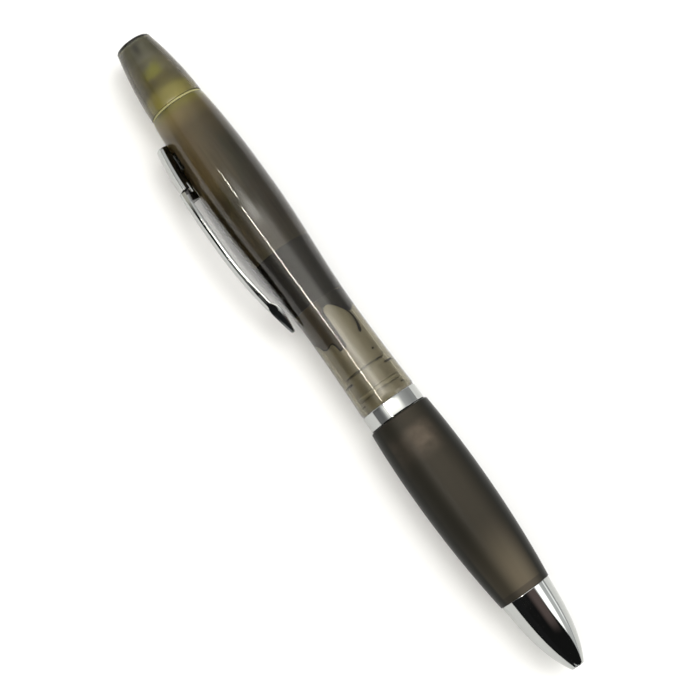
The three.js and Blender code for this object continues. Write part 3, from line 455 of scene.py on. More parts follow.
pale_smoke = pale_smoke_plastic()
liner_look = mottled(
    "liner_plastic", 0.15, 1.5, 3.0, (0.75, 0.73, 0.66), (0.92, 0.91, 0.86), Transmission_Weight=1.0, IOR=1.1,
)
LINER_START, LINER_END, LINER_BORE, LINER_GAP = 5.25, 10.25, 3.05, 0.1
liner_line = [
    [LINER_START, LINER_BORE],
    *follow(lambda s: cap_radius(s) - CAP_WALL - LINER_GAP, LINER_START, LINER_END, 12),
    [LINER_END, LINER_BORE],
]
finish_piece(turned("liner_cup", liner_line), liner_look, "pale_smoke_plastic", "cap", "cap_liner")


# Highlighter nib: a rod of pressed polyester felt, soaked in yellow ink and cut to a slanted
# chisel, held in the bore of its holder.
NIB_START, NIB_LENGTH, NIB_RADIUS = 5.2, 18.8, 1.7


def nib_grid(rings=60, sides=64):
    """A rod whose section is clamped: along the pen its height is held between two planes that
    open from 0.8 mm to its full width, and its front is cut askew by pushing each point back by a
    share of its width."""
    run = NIB_LENGTH * np.linspace(0, 1, rings).reshape(-1, 1) ** 2
    angle = circle(sides)
    radius = NIB_RADIUS * np.clip(0.82 + run / 0.6, 0, 1)
    across, height = radius * np.sin(angle), radius * np.cos(angle)
    half, squareness = 0.4 + 1.4 * np.clip(run / 2.6, 0, 1), 1.6
    height = half * np.tanh(height / half * squareness) / math.tanh(squareness)
    slant = 1.3 * (0.5 + across / (2 * NIB_RADIUS)) * np.clip(1 - run / 4.0, 0, 1)
    return placed(NIB_START + run + slant, across, np.clip(height, -NIB_RADIUS, NIB_RADIUS))


felt, tree, shader = material("yellow_felt", 0.9, Sheen_Weight=0.3)
fibres = streaked(tree, 0.12, 8.0, 3.0)
paint(tree, shader, fibres, (0.62, 0.66, 0.04), (0.93, 0.98, 0.16))
# Painted glow: the emission stands in for the yellow ink's fluorescence, which is real.
paint(tree, shader, fibres, (0.5, 0.55, 0.02), (0.8, 0.85, 0.05), "Emission Color")
shader.inputs["Emission Strength"].default_value = 0.15
bump(tree, shader, fibres, 0.05)
finish_piece(skin("nib_felt", nib_grid(), False), felt, "yellow_felt", "barrel", "highlighter_nib")


# Nib holder: one moulding of yellow plastic, with a painted glow for its fluorescence and painted shade on
# the slope up from its snout. Its snout carries the nib, its neck the cap, its thin flange shows in the seam,
# and its plug closes the barrel.
holder_look, tree, shader = material("yellow_plastic", 0.4)
drift = streaked(tree, 1.6, 1.5)
flange = along_pen(tree, 14.95, 15.05)
fade = along_pen(tree, 15.3, 17.0)
glow = colour_by(tree, drift, (0.76, 0.71, 0.22), (0.88, 0.83, 0.32))
# Painted shade: darker towards the snout, where the painted glow also fades.
shoulder_shade_and_glow = along_pen(tree, 10.3, 13.6)
glow = colour_by(tree, shoulder_shade_and_glow, (0.46, 0.42, 0.16), glow)
cream = colour_by(tree, flange, glow, (0.3, 0.28, 0.12))
paint(tree, shader, fade, cream, (0.52, 0.42, 0.2))
# Painted glow: the emission stands in for the yellow plastic's fluorescence.
painted_glow = colour_by(tree, shoulder_shade_and_glow, (0.24, 0.22, 0.04), (0.62, 0.57, 0.12))
paint(tree, shader, flange, painted_glow, (0.0, 0.0, 0.0), "Emission Color")
shader.inputs["Emission Strength"].default_value = 0.16
bump(tree, shader, streaked(tree, 0.3, 1.0), 0.01)
NECK_RADIUS, BEAD_RADIUS, NIB_BORE = 4.57, 4.72, 1.8
holder_line = [
    [8.6, NIB_BORE], [8.6, 2.55], [8.95, 2.9], [10.35, 2.9], [11.7, 4.3], [12.1, NECK_RADIUS],
    [12.8, NECK_RADIUS], [13.3, BEAD_RADIUS], [13.8, NECK_RADIUS],
    [15.1, NECK_RADIUS], [15.1, 5.55], [15.5, 5.55], [15.5, 4.8], [20.5, 4.8], [20.5, NIB_BORE],
]
finish_piece(turned("holder_body", holder_line, 0.08), holder_look, "yellow_plastic", "barrel", "nib_holder")


# Ink filler: a rod of bonded fibres, full of ink gone dark behind the smoke barrel. The film that
# was rolled round it has sprung open against the barrel's bore and is stained brown.
filler_look, tree, shader = material("soaked_filler", 0.8)
fibre = streaked(tree, 0.25, 14.0, 3.0)
patches = streaked(tree, 6.0, 2.0, 2.0)
brown = colour_by(tree, fibre, (0.07, 0.055, 0.035), (0.16, 0.125, 0.075))
green = colour_by(tree, fibre, (0.07, 0.07, 0.03), (0.15, 0.15, 0.06))
paint(tree, shader, patches, brown, green)
bump(tree, shader, fibre, 0.06)
FILLER_START, FILLER_END, FILLER_RADIUS = 20.6, 50.1, 4.35
filler_line = [
    [24.1, 0], [24.1, NIB_BORE], [FILLER_START, NIB_BORE], [FILLER_START, FILLER_RADIUS],
    [FILLER_END, FILLER_RADIUS], [FILLER_END, 0],
]
finish_piece(turned("filler_rod", filler_line, 0.15), filler_look, "soaked_filler", "barrel", "ink_filler")

BARREL_START, BARREL_END, BARREL_WALL, BORE_GAP = 15.6, 85.3, 0.85, 0.12
BELLY, WAIST = BARREL_START + 21.9, BARREL_START + 51.4


def barrel_radius(station):
    """Radius of the barrel: an ease-out rise to the belly, half a cosine wave down to the waist,
    and a flare that grows with a power of the distance."""
    rise = 5.75 + 1.0 * ease_out(station, BARREL_START, BELLY, 2.5)
    fall = 6.125 + 0.625 * np.cos(np.pi * (station - BELLY) / (WAIST - BELLY))
    flare = 5.5 + 0.38 * part(station, WAIST, BARREL_END) ** 1.9
    return np.where(station < BELLY, rise, np.where(station < WAIST, fall, flare))


def against_bore(station):
    """What lies against the barrel's bore follows it at a small gap."""
    return barrel_radius(station) - BARREL_WALL - BORE_GAP


film_look = mottled(
    "wrap_film", 0.4, 1.2, 10.0, (0.1, 0.08, 0.055), (0.2, 0.165, 0.115), relief=0.04, IOR=1.45,
)
FILM_THICKNESS = 0.25
film_line = [
    *follow(against_bore, FILLER_START, FILLER_END, 40),
    *follow(lambda s: against_bore(s) - FILM_THICKNESS, FILLER_END, FILLER_START, 40),
]
finish_piece(turned("filler_film", film_line, 0.05), film_look, "wrap_film", "barrel", "filler_wrap")


# Chamber plug: a dark, soft cup pushed in below the filler, tapered like the bore.
plug_look = mottled(
    "dark_plastic", 0.4, 3.0, 1.5, (0.055, 0.052, 0.047), (0.1, 0.095, 0.085), relief=0.01, grain=0.25,
)
PLUG_START, PLUG_FLOOR, PLUG_END, PLUG_WALL = 50.2, 51.2, 62.35, 0.45
plug_line = [
    [PLUG_START, 0],
    *follow(against_bore, PLUG_START, PLUG_END, 12),
    *follow(lambda s: against_bore(s) - PLUG_WALL, PLUG_END, PLUG_FLOOR, 12),
    [PLUG_FLOOR, 0],
]
finish_piece(turned("plug_cup", plug_line, 0.12), plug_look, "dark_plastic", "barrel", "chamber_plug")


# Barrel: an even shell of the same smoke plastic as the cap, with its belly a third of the way
# along, a waist and a slight flare, and a slot for the clip's foot. Where the holder's plug, the
# stained film and the dark cup lie wet against its bore, the bore's faces carry their look.
def barrel_shell():
    """A profile loop carried round the axis as rings and sides. The faces of the slot are left out
    of the outer and the inner wall, and the two rims of the hole are joined by four short walls."""
    sides, first, last, half = 160, 22.9, 26.5, 5
    out = np.unique(np.concatenate([np.linspace(BARREL_START, BARREL_END, 110), [first, last]]))
    radius = barrel_radius(out)
    line = np.concatenate([
        np.stack([out, radius], -1), np.stack([out[::-1], radius[::-1] - BARREL_WALL], -1),
    ])
    line[[0, len(out) - 1], 1] -= (0.06, 0.16)
    angle = circle(sides) + np.pi / 2
    grid = on_pen(line[:, :1], line[:, 1:], angle)
    rings = len(line)
    index = np.arange(rings * sides).reshape(rings, sides)
    faces = np.stack([
        index, np.roll(index, -1, 0), np.roll(np.roll(index, -1, 0), -1, 1), np.roll(index, -1, 1),
    ], -1)
    low, high = np.searchsorted(out, [first, last])
    beside = np.concatenate([np.arange(-half, 0), np.arange(half)]) % sides
    gone = np.zeros((rings, sides), bool)
    gone[low:high, beside[:, None]] = True
    gone[rings - 1 - high : rings - 1 - low, beside[:, None]] = True

    def wall(ring, side, step_ring, step_side):
        """Faces between the outer rim and the inner rim, from one point of the rim to the next."""
        ring, side = np.broadcast_arrays(ring, side)
        near, far = (ring, side), (ring + step_ring, side + step_side)
        return np.stack([
            index[near[0], near[1] % sides], index[far[0], far[1] % sides],
            index[rings - 1 - far[0], far[1] % sides], index[rings - 1 - near[0], near[1] % sides],
        ], -1)

    across, down = np.arange(-half, half), np.arange(low, high)
    walls = [
        wall(low, across, 0, 1), wall(high, across, 0, 1)[:, ::-1],
        wall(down, -half, 1, 0)[:, ::-1], wall(down, half, 1, 0),
    ]
    return put_in("barrel_shell", grid.reshape(-1, 3), np.concatenate([faces[~gone], *walls]))


def wet_bore():
    """The wetted bore, with a soft sheen: yellow from the holder at first, then brown along the film in
    streaks that run with the fibres and in reddish and green patches, and nearly black along the plug. Its
    colour is painted lighter towards the clip's side and darker towards the far side, as painted light."""
    made, tree, shader = material("wet_bore", 0.5, IOR=1.45)
    fibre = streaked(tree, 0.5, 16.0, 3.0)
    patches = streaked(tree, 5.0, 2.2, 2.0)
    clouds = streaked(tree, 3.0, 3.0, 1.0)
    red = colour_by(tree, fibre, (0.08, 0.062, 0.05), (0.15, 0.118, 0.096))
    green = colour_by(tree, fibre, (0.072, 0.068, 0.044), (0.135, 0.127, 0.084))
    spread = ramp(tree, patches, 0.35, 0.65)
    far = colour_by(tree, spread, red, green)
    red = colour_by(tree, fibre, (0.19, 0.148, 0.12), (0.32, 0.252, 0.2))
    green = colour_by(tree, fibre, (0.165, 0.155, 0.105), (0.28, 0.262, 0.18))
    near = colour_by(tree, spread, red, green)
    amber = colour_by(tree, fibre, (0.43, 0.35, 0.235), (0.65, 0.53, 0.36))
    near = colour_by(tree, along_pen(tree, 30.0, 39.0), amber, near)
    # Painted light: lighter towards the clip's side, darker towards the far side.
    look = colour_by(tree, round_pen(tree, -30.0, 52.0), far, near)
    # Painted light: near the holder the colour turns paler towards the clip's side.
    paler_towards_clip = round_pen(tree, -14.0, 36.0)
    for first, last, low, high, pale in (
        (19.0, 29.0, (0.28, 0.23, 0.15), (0.39, 0.32, 0.2), (0.6, 0.49, 0.32)),
        (17.2, 21.5, (0.54, 0.46, 0.25), (0.68, 0.58, 0.31), (0.98, 0.82, 0.47)),
        (BARREL_START, 18.2, (0.78, 0.74, 0.2), (0.9, 0.86, 0.26), (0.98, 0.93, 0.32)),
    ):
        local = colour_by(tree, paler_towards_clip, colour_by(tree, clouds, low, high), pale)
        look = colour_by(tree, along_pen(tree, first, last), local, look)
    dark = colour_by(tree, clouds, (0.036, 0.034, 0.034), (0.066, 0.062, 0.06))
    on_plug = along_pen(tree, FILLER_END, FILLER_END + 0.15)
    paint(tree, shader, on_plug, look, dark)
    bump(tree, shader, fibre, 0.02)
    return made


WET_END = 62.4
barrel = barrel_shell()
station, radius, _ = measure(barrel.data.vertices, "co")
mark(barrel, "bore", radius < barrel_radius(station) - BARREL_WALL / 2)
finish_piece(barrel, smoke, "smoke_plastic", "barrel", "barrel")
barrel.data.materials.append(wet_bore())
station, radius, _ = measure(barrel.data.polygons, "center")
wet = (station > BARREL_START) & (station < WET_END) & (radius < barrel_radius(station) - 0.7)
barrel.data.polygons.foreach_set("material_index", wet.astype(int))


# Clip: one casting, polished and chromed. Its wide head stands on a narrow root, its arm bows
# away from the barrel, and its lobed pad comes back to it. A foot reaches through the slot.
CLIP_START, CLIP_END = 20.8, 64.3
HEAD_END, HEAD_BACK, ARM_PEAK, PAD_START, PAD_LOW = 30.2, 32.7, 43.1, 57.4, 59.5
ARM_TOP = 9.85


def clip_outer(station):
    """Height of the outer face: an ease-out rise over the head, a step up to the arm, a cubic rise
    to the peak and a quadratic fall to the tip."""
    head = ARM_TOP - 1.6 + 0.9 * ease_out(station, CLIP_START, HEAD_END, 1.7)
    neck = ARM_TOP - 0.34 * part(station, ARM_PEAK, HEAD_END) ** 3
    tail = ARM_TOP - 2.6 * part(station, ARM_PEAK, CLIP_END) ** 2
    return np.where(station <= HEAD_END, head, np.where(station < ARM_PEAK, neck, tail))


def clip_inner(station):
    """Height of the inner face: on the barrel under the head, even under the arm, down a quarter
    sine to the pad, flat, then lifted a little at the tip."""
    arm = clip_outer(station) - 0.95
    pad = barrel_radius(np.array(PAD_LOW)) + 1.0
    dip = arm + (pad - arm) * np.sin(np.pi / 2 * part(station, PAD_START, PAD_LOW))
    lift = pad + 0.25 * part(station, PAD_LOW + 0.9, CLIP_END) ** 2
    seat = barrel_radius(station) + 0.15
    rear = np.where(station < PAD_LOW, dip, lift)
    return np.where(station <= HEAD_BACK, seat, np.where(station <= PAD_START, arm, rear))


def clip_half_width(station):
    """Half the width: a quarter circle at the head's front corners, an ease-out from the neck to
    the arm, a quadratic loss to the pad, and a taper by a power to the tip."""
    left = np.clip(0.9 - (station - CLIP_START), 0, 0.9)
    head = 1.5 + np.sqrt(0.81 - left**2)
    arm = 1.6 + 0.15 * ease_out(station, HEAD_END, ARM_PEAK, 2)
    leaf = 1.75 - 0.2 * part(station, ARM_PEAK, PAD_START) ** 2
    tip = 1.55 - 1.05 * part(station, PAD_START, CLIP_END) ** 1.6
    rear = np.where(station < PAD_START, leaf, tip)
    return np.where(station <= HEAD_END, head, np.where(station < ARM_PEAK, arm, rear))


def clip_bevel(station, thickness):
    """The bevel beside the outer face: fine on the head's plate, broad where the arm starts, then
    fine until it grows into the pad's whole side but for an upright rim."""
    neck = 0.34 + 0.36 * part(station, HEAD_END + 7, HEAD_END) ** 2
    share = part(station, PAD_START - 10, PAD_START) ** 2
    return np.where(station <= HEAD_END, 0.1, neck + (thickness - 0.16 - 0.34) * share)


def clip_grid():
    """A section carried along the clip: inner face, slanted or upright sides with a facet, upright
    on the head and turned out by an eighth of a right angle on the arm, bevels, and a crowned
    outer face. All corners are rounded."""
    station = np.unique(np.concatenate([
        CLIP_START + np.array([0, 0.03, 0.08]), np.linspace(CLIP_START + 0.15, CLIP_START + 0.9, 14),
        np.linspace(CLIP_START + 1.0, HEAD_END - 0.02, 30), [HEAD_END, HEAD_END + 0.02],
        np.linspace(HEAD_END + 0.1, HEAD_BACK, 16), [HEAD_BACK + 0.02],
        np.linspace(HEAD_BACK + 0.1, PAD_START, 90),
        np.linspace(PAD_START + 0.05, PAD_LOW, 30), np.linspace(PAD_LOW + 0.1, CLIP_END - 0.15, 40),
        CLIP_END - np.array([0.08, 0.03, 0]),
    ]))
    close = np.clip(np.minimum(station - CLIP_START, CLIP_END - station) / 0.08, 0, 1)
    inset = 0.1 * (1 - np.sqrt(1 - (1 - close) ** 2))
    inner, outer = clip_inner(station) + inset, clip_outer(station) - inset
    half = clip_half_width(station) - inset
    narrow = np.where(station <= HEAD_END, 1.2, 0.6)
    root = np.where(station <= HEAD_BACK, np.minimum(narrow - inset, half), half)
    thickness = outer - inner
    low = np.minimum(0.08, thickness / 5)
    bevel = np.minimum(clip_bevel(station, thickness), np.minimum(thickness / 1.6, half / 1.4))
    facet = np.where(station > HEAD_END, np.clip(0.45 * (thickness - bevel - low), 0, 0.62), 0.55)
    slant = half - 0.21 * facet * (station > HEAD_END)
    crown = 0.3 - inset
    slope = np.array([-0.7, -0.35, 0, 0.35, 0.7]).reshape(-1, 1)
    side = [inner, inner + low, outer - bevel - facet, outer - bevel, outer]
    heights = [*side, *(outer + crown * (1 - slope**2)), *side[::-1]]
    side = [root - low, root, half, slant, slant - bevel]
    widths = [*(-w for w in side), *(slope * (slant - bevel)), *side[::-1]]
    section = np.stack([np.stack(heights, -1), np.stack(widths, -1)], -1)
    section = rounded(section, 0.04, True)
    return placed(station.reshape(-1, 1), section[..., 0], section[..., 1])


def chrome_plate():
    """Bright chrome plate: mirror smooth, dulled a little by smudges and crossed by hairlines.
    Where the attribute marks the recess under the head, the colour is painted near black, as painted shade
    and dark reflection."""
    made, tree, shader = material("chrome", 0.05, Metallic=1.0)
    smudge = streaked(tree, 3.5, 2.0, 3.0)
    hairlines = grouped(tree, scratches, Size_mm=0.16)
    bright = colour_by(tree, smudge, (0.38, 0.39, 0.38), (0.44, 0.45, 0.44))
    blotches = streaked(tree, 0.5, 1.5)
    # Painted shade and dark reflection in the recess under the clip's head.
    painted_recess_shade = colour_by(tree, blotches, (0.02, 0.02, 0.02), (0.16, 0.155, 0.15))
    recess = add(tree, "Attribute", attribute_name="recess").outputs["Fac"]
    paint(tree, shader, recess, bright, painted_recess_shade)
    dull = value_by(tree, ramp(tree, smudge, 0.35, 0.75), 0.025, 0.08)
    rough = compute(tree, "ADD", value_by(tree, hairlines, 0.0, 0.18), dull)
    tree.links.new(rough, shader.inputs["Roughness"])
    bump(tree, shader, streaked(tree, 1.2, 4.0, 0.0), 0.003)
    return made


def slab(name, outline, middle, low, high):
    """An outline of stations and heights towards the clip, in mm, given a width across the pen.
    Its ends are fans about the middle, from which every corner can be seen."""
    outline, middle = rounded(np.array(outline, float), 0.1, True), np.array(middle)
    width = np.array([low, low + 0.03, high - 0.03, high]).reshape(-1, 1)
    inset = np.array([0.97, 1, 1, 0.97]).reshape(-1, 1, 1)
    flat = middle + (outline - middle) * inset
    grid = placed(flat[..., 0], flat[..., 1], width)
    return skin(name, grid, False, placed(*middle, np.array([low, high])))


chrome = chrome_plate()
clip_body = finish_piece(skin("clip_body", clip_grid(), False), chrome, "chrome", "clip", "clip")
station, _, height = measure(clip_body.data.vertices, "co")
# The recess under the head is marked for painted shade in the chrome.
under_head = (station > CLIP_START + 0.2) & (station < HEAD_BACK + 0.05)
mark(clip_body, "recess", under_head & (height < clip_outer(station) - 0.65))
ledge_line = [[29.2, 7.5], [31.3, 7.5], [31.3, 7.72], [29.2, 7.72]]
finish_piece(slab("clip_ledge", ledge_line, (30.2, 7.6), -1.78, 1.78), chrome, "chrome", "clip")
foot_line = [[23.2, 6.8], [26.2, 6.8], [26.2, 4.92], [21.6, 4.92], [21.6, 5.25], [23.2, 5.25]]
finish_piece(slab("clip_foot", foot_line, (23.6, 5.1), -0.6, 0.6), chrome, "chrome", "clip")


# Mechanism housing: a sleeve of pale smoke plastic pressed into the waist.
HOUSING_START, HOUSING_END, HOUSING_RADIUS, HOUSING_BORE = 62.45, 77.65, 4.55, 4.1
housing_line = [
    [HOUSING_START, 0], [HOUSING_START, HOUSING_RADIUS], [HOUSING_END, HOUSING_RADIUS],
    [HOUSING_END, HOUSING_BORE], [HOUSING_START + 1.0, HOUSING_BORE], [HOUSING_START + 1.0, 0],
]
housing = turned("housing_sleeve", housing_line, 0.1)
finish_piece(housing, pale_smoke, "pale_smoke_plastic", "barrel", "mechanism_housing")


# Contact film: ink that has crept between the housing and the barrel from the wet end. It lies
# there as a thin brown skin, and where it stopped it dried to a dark ridge with a long spur.
FILM_BORDER = np.array([
    [-180, 66.0], [-110, 65.6], [-60, 66.6], [-47.5, 67.17], [-41, 67.3], [-36.5, 67.0], [-31.2, 66.73],
    [-25.5, 66.1], [-20.3, 65.47], [-14, 64.85], [-8.2, 64.39], [-2.5, 64.05], [3.1, 63.95], [9.5, 64.05],
    [15.2, 64.44], [17.4, 65.1], [18.3, 72.4], [20.5, 72.62], [28, 72.55], [35.2, 72.72], [37.3, 71.4],
    [41, 70.75], [45.8, 70.6], [55, 70.85], [64.9, 70.96], [72, 70.6], [78.7, 69.91], [92, 69.0],
    [130, 66.8], [180, 66.0],
])


def film_skin(sides=720):
    """A shell whose border station is a function of the angle: it is read between the points of
    the border. Each line of the shell runs out along the bore, which it wets, and back under it."""
    angle = np.linspace(-180, 180, sides, endpoint=False)
    border = np.interp(angle, FILM_BORDER[:, 0], FILM_BORDER[:, 1])
    share = np.array([0, 0.25, 0.5, 0.75, 1.0, 1.0, 0.75, 0.5, 0.25, 0]).reshape(-1, 1)
    station = WET_END + (border - WET_END) * share
    depth = np.array([-0.02] * 5 + [0.06] * 5).reshape(-1, 1)
    radius = barrel_radius(station) - BARREL_WALL - depth
    return skin("contact_film", on_pen(station, radius, np.radians(angle)), True)


def ridge(name, line, size):
    """A flattened circle carried along a line of stations and angles on the bore, whose radius is
    taken as 4.6 mm: its width lies in the bore, square to the line, and its height is 0.06 mm."""
    line, bore_radius, rise = np.array(line, float), 4.6, 0.03
    step = np.hypot(np.diff(line[:, 0]), np.diff(np.radians(line[:, 1])) * bore_radius)
    run = np.concatenate([[0], np.cumsum(step)])
    at = np.linspace(0, run[-1], 8 * len(line))
    station, angle = np.interp(at, run, line[:, 0]), np.radians(np.interp(at, run, line[:, 1]))
    width = np.interp(at, run, size)
    ahead, aside = np.gradient(station), np.gradient(angle) * bore_radius
    length = np.hypot(ahead, aside)
    turn = circle(10)
    across = width[:, None] * np.cos(turn)
    bore = barrel_radius(station)[:, None] - BARREL_WALL
    places = on_pen(
        station[:, None] - across * (aside / length)[:, None], bore + rise + rise * np.sin(turn),
        angle[:, None] + across * (ahead / length)[:, None] / bore_radius,
    )
    return skin(name, places, False)


film, tree, shader = material("damp_ink", 0.35, IOR=1.4)
stain = streaked(tree, 1.6, 2.5, 3.0)
brown = colour_by(tree, stain, (0.13, 0.107, 0.078), (0.21, 0.172, 0.125))
upper = colour_by(tree, stain, (0.034, 0.032, 0.028), (0.066, 0.062, 0.055))
paint(tree, shader, round_pen(tree, 10.0, 20.0), upper, brown)
bump(tree, shader, stain, 0.01)
finish_piece(film_skin(), film, "ink", "barrel")
dried = mottled("dried_ink", 0.5, 0.2, 1.0, (0.012, 0.01, 0.008), (0.035, 0.028, 0.02), relief=0.01)
seen_border = [[s, a] for a, s in FILM_BORDER[(FILM_BORDER[:, 0] > -30) & (FILM_BORDER[:, 0] < 80)]]
spur = [
    [71.87, -28.1], [71.4, -31.0], [70.5, -35.5], [69.6, -37.8], [68.58, -38.8], [67.6, -36.6],
    [66.73, -31.2],
]
sizes = [0.1, 0.36, 0.3, 0.25, 0.21, 0.18, 0.15] + [0.13] * len(seen_border)
finish_piece(ridge("film_edge", spur + seen_border, sizes), dried, "ink", "barrel")
second = [[64.5, 19.0], [65.2, 20.4], [68.5, 20.9], [72.0, 20.6], [72.5, 22.0]]
finish_piece(ridge("film_edge_inner", second, [0.07] * 5), dried, "ink", "barrel")


# Twist cam, guide sleeve and plunger: white mouldings inside the housing. The cam's ramps push the
# plunger's lugs, and the sleeve's slots keep them from turning.
white_look = mottled(
    "white_plastic", 0.4, 2.0, 1.0, (0.78, 0.77, 0.71), (0.88, 0.87, 0.83), relief=0.008, grain=0.2,
)
for name in ("twist_cam", "guide_sleeve", "plunger"):
    nodes[name].data.materials.clear()
    nodes[name].data.materials.append(white_look)


# Joint: a collar fixed in the barrel holds the head of the coupling, which turns in it. A rubber
# ring in the coupling's groove gives the twist its drag.
collar_line = [[78.95, 3.75], [78.95, 4.72], [81.88, 4.8], [81.88, 3.9], [81.5, 3.9], [81.5, 3.75]]
collar = turned("collar_ring", collar_line, 0.03)
finish_piece(collar, pale_smoke, "pale_smoke_plastic", "barrel", "retaining_collar")
coupling_line = [
    [77.8, 2.95], [77.8, 3.8], [78.1, 4.1], [78.9, 4.1], [78.9, 3.5], [81.6, 3.5], [81.6, 3.78],
    [83.1, 3.78], [83.1, 4.78], [88.6, 4.78], [88.6, 3.8], [94.1, 3.8], [94.1, 2.95],
]
coupling = turned("coupling_tube", coupling_line, 0.08)
finish_piece(coupling, pale_smoke, "pale_smoke_plastic", "grip_section", "coupling")


def rib(name, first, last, angles, radii):
    """A short rib on the bore: a rectangle of stations and radii carried round through an arc."""
    angle = np.radians(np.linspace(*angles, 12)).reshape(-1, 1)
    inner, outer = radii
    corners = np.array([[first, inner], [last, inner], [last, outer], [first, outer]])
    loop = rounded(corners, 0.04, True)
    return skin(name, on_pen(loop[:, 0], loop[:, 1], angle), False)


CATCH_HEIGHT = 0.12
catch_look = mottled("catch", 0.5, 0.4, 1.0, (0.03, 0.028, 0.02), (0.08, 0.07, 0.05))
for number, (first, last, low, high, radius) in enumerate((
    (78.9, 79.3, -64, -33, 4.84), (78.9, 79.3, 61, 92, 4.84), (83.7, 84.0, -58, -40, 4.94),
    (83.7, 84.0, 67, 86, 4.94), (75.45, 75.85, -33, -28, 4.72),
)):
    piece = rib("catch_%d" % number, first, last, (low, high), (radius - CATCH_HEIGHT, radius))
    finish_piece(piece, catch_look, "dark_plastic", "barrel")

CORD_STATION, CORD_RADIUS, CORD_HALF = 82.35, 4.33, 0.45
rubber_look = mottled("smoke_rubber", 0.6, 0.5, 1.0, (0.66, 0.63, 0.52), (0.78, 0.75, 0.64))
turn = circle(20)
cord_line = np.stack([CORD_STATION + CORD_HALF * np.cos(turn), CORD_RADIUS + CORD_HALF * np.sin(turn)], -1)
cord = turned("friction_cord", cord_line, 0.0)
finish_piece(cord, rubber_look, "smoke_rubber", "grip_section", "friction_ring")


# Centre ring: turned brass, polished and chromed, with finely broken edges.
ring_line = [[85.4, 4.88], [85.4, 5.83], [85.52, 5.95], [88.48, 5.95], [88.6, 5.83], [88.6, 4.88]]
finish_piece(turned("trim_ring", ring_line, 0.05, sides=160), chrome, "chrome", "grip_section", "centre_ring")


# Lower barrel: the tube under the grip, with a socket for the coupling and the cone's spigot.
lower_line = [
    [88.7, 3.9], [88.7, 4.9], [129.2, 4.5], [129.2, 3.7], [134.1, 3.7], [134.1, 2.8], [94.2, 2.8],
    [94.2, 3.9],
]
lower_tube = turned("lower_tube", lower_line)
finish_piece(lower_tube, pale_smoke, "pale_smoke_plastic", "grip_section", "lower_barrel")


# Grip: a sleeve of soft, frosted rubber pushed over the lower barrel. It lets a little light
# through, so that its thin front lip and the coupling's end under it show as paler bands.
GRIP_START, GRIP_END, GRIP_BELLY = 88.7, 129.2, 103.5


def grip_radius(station):
    """Radius of the grip: an ease-out rise to its belly, then a loss by a power of the distance."""
    rise = 6.3 + 0.6 * ease_out(station, GRIP_START, GRIP_BELLY, 2)
    fall = 6.9 - 1.5 * part(station, GRIP_BELLY, GRIP_END) ** 2.15
    return np.where(station < GRIP_BELLY, rise, fall)


def frosted_rubber():
    """Soft smoke rubber, frosted by its mould: a fine grain, a soft gloss, and a colour that warms
    towards the thin front lip, with faint brown patches on top where the coupling ends under it.
    Its edges and the clip's side are painted darker, as painted shade."""
    made, tree, shader = material("frosted_rubber", 0.32, IOR=1.5, Specular_IOR_Level=0.06)
    drift = streaked(tree, 5.0, 2.5, 2.0)
    base = colour_by(tree, drift, (0.031, 0.028, 0.021), (0.04, 0.034, 0.025))
    start = along_pen(tree, 91.0, 93.5)
    stop = along_pen(tree, 95.0, 99.5)
    patchy = streaked(tree, 2.5, 0.8)
    patchy = compute(tree, "MULTIPLY", compute(tree, "SUBTRACT", start, stop), patchy)
    on_top = round_pen(tree, -38.0, -4.0)
    base = colour_by(tree, compute(tree, "MULTIPLY", patchy, on_top), base, (0.118, 0.093, 0.07))
    warm = along_pen(tree, 113.0, 127.0)
    base = colour_by(tree, warm, base, (0.104, 0.087, 0.06))
    lip = along_pen(tree, 127.7, 128.0)
    base = colour_by(tree, lip, base, (0.07, 0.059, 0.045))
    # Painted shade: darker at the edges as they turn away, and on the clip's side.
    painted_edge_shade = ramp(tree, add(tree, "LayerWeight").outputs["Facing"], 0.06, 0.4)
    painted_clip_side_shade = compute(tree, "MULTIPLY", round_pen(tree, 8.0, 42.0), 0.75)
    paint(tree, shader, compute(tree, "MAXIMUM", painted_edge_shade, painted_clip_side_shade), base, (0.013, 0.0125, 0.0098))
    grain = streaked(tree, 0.09, 1.0, 2.0)
    tree.links.new(value_by(tree, drift, 0.28, 0.36), shader.inputs["Roughness"])
    bump(tree, shader, grain, 0.003)
    return made


GRIP_EDGE = 0.35
grip_line = [
    [GRIP_START, 5.0],
    *quarter(GRIP_START, float(grip_radius(np.array(GRIP_START + GRIP_EDGE))), GRIP_EDGE),
    *follow(grip_radius, GRIP_START + GRIP_EDGE, GRIP_END, 60)[1:],
    [GRIP_END, 4.6],
]
grip = turned("grip_sleeve", grip_line, 0.1, sides=160)
finish_piece(grip, frosted_rubber(), "frosted_rubber", "grip_section", "grip")


# Nose cone: turned brass, polished and chromed, screwed on the lower barrel's spigot.
CONE_START, CONE_END = 129.3, 146.0


def cone_radius(station):
    """Radius of the nose cone: from its base it loses a third evenly and the rest by a power."""
    share = part(station, CONE_START, CONE_END)
    return 5.25 - 3.9 * (0.35 * share + 0.65 * share**3.2)


SPIGOT_BORE, MOUTH_BORE, MOUTH_START, CONE_WALL = 3.8, 0.95, 141.5, 0.8
cone_line = [
    [CONE_START - 0.08, SPIGOT_BORE], [CONE_START - 0.08, 5.25],
    *follow(cone_radius, CONE_START, CONE_END - 0.25, 50),
    [CONE_END, 1.3], [CONE_END, MOUTH_BORE], [MOUTH_START, MOUTH_BORE],
    *follow(lambda s: np.minimum(SPIGOT_BORE, cone_radius(s) - CONE_WALL), MOUTH_START, 134.3, 20),
]
finish_piece(turned("nose_shell", cone_line, 0.02, sides=160), chrome, "chrome", "grip_section", "nose_cone")


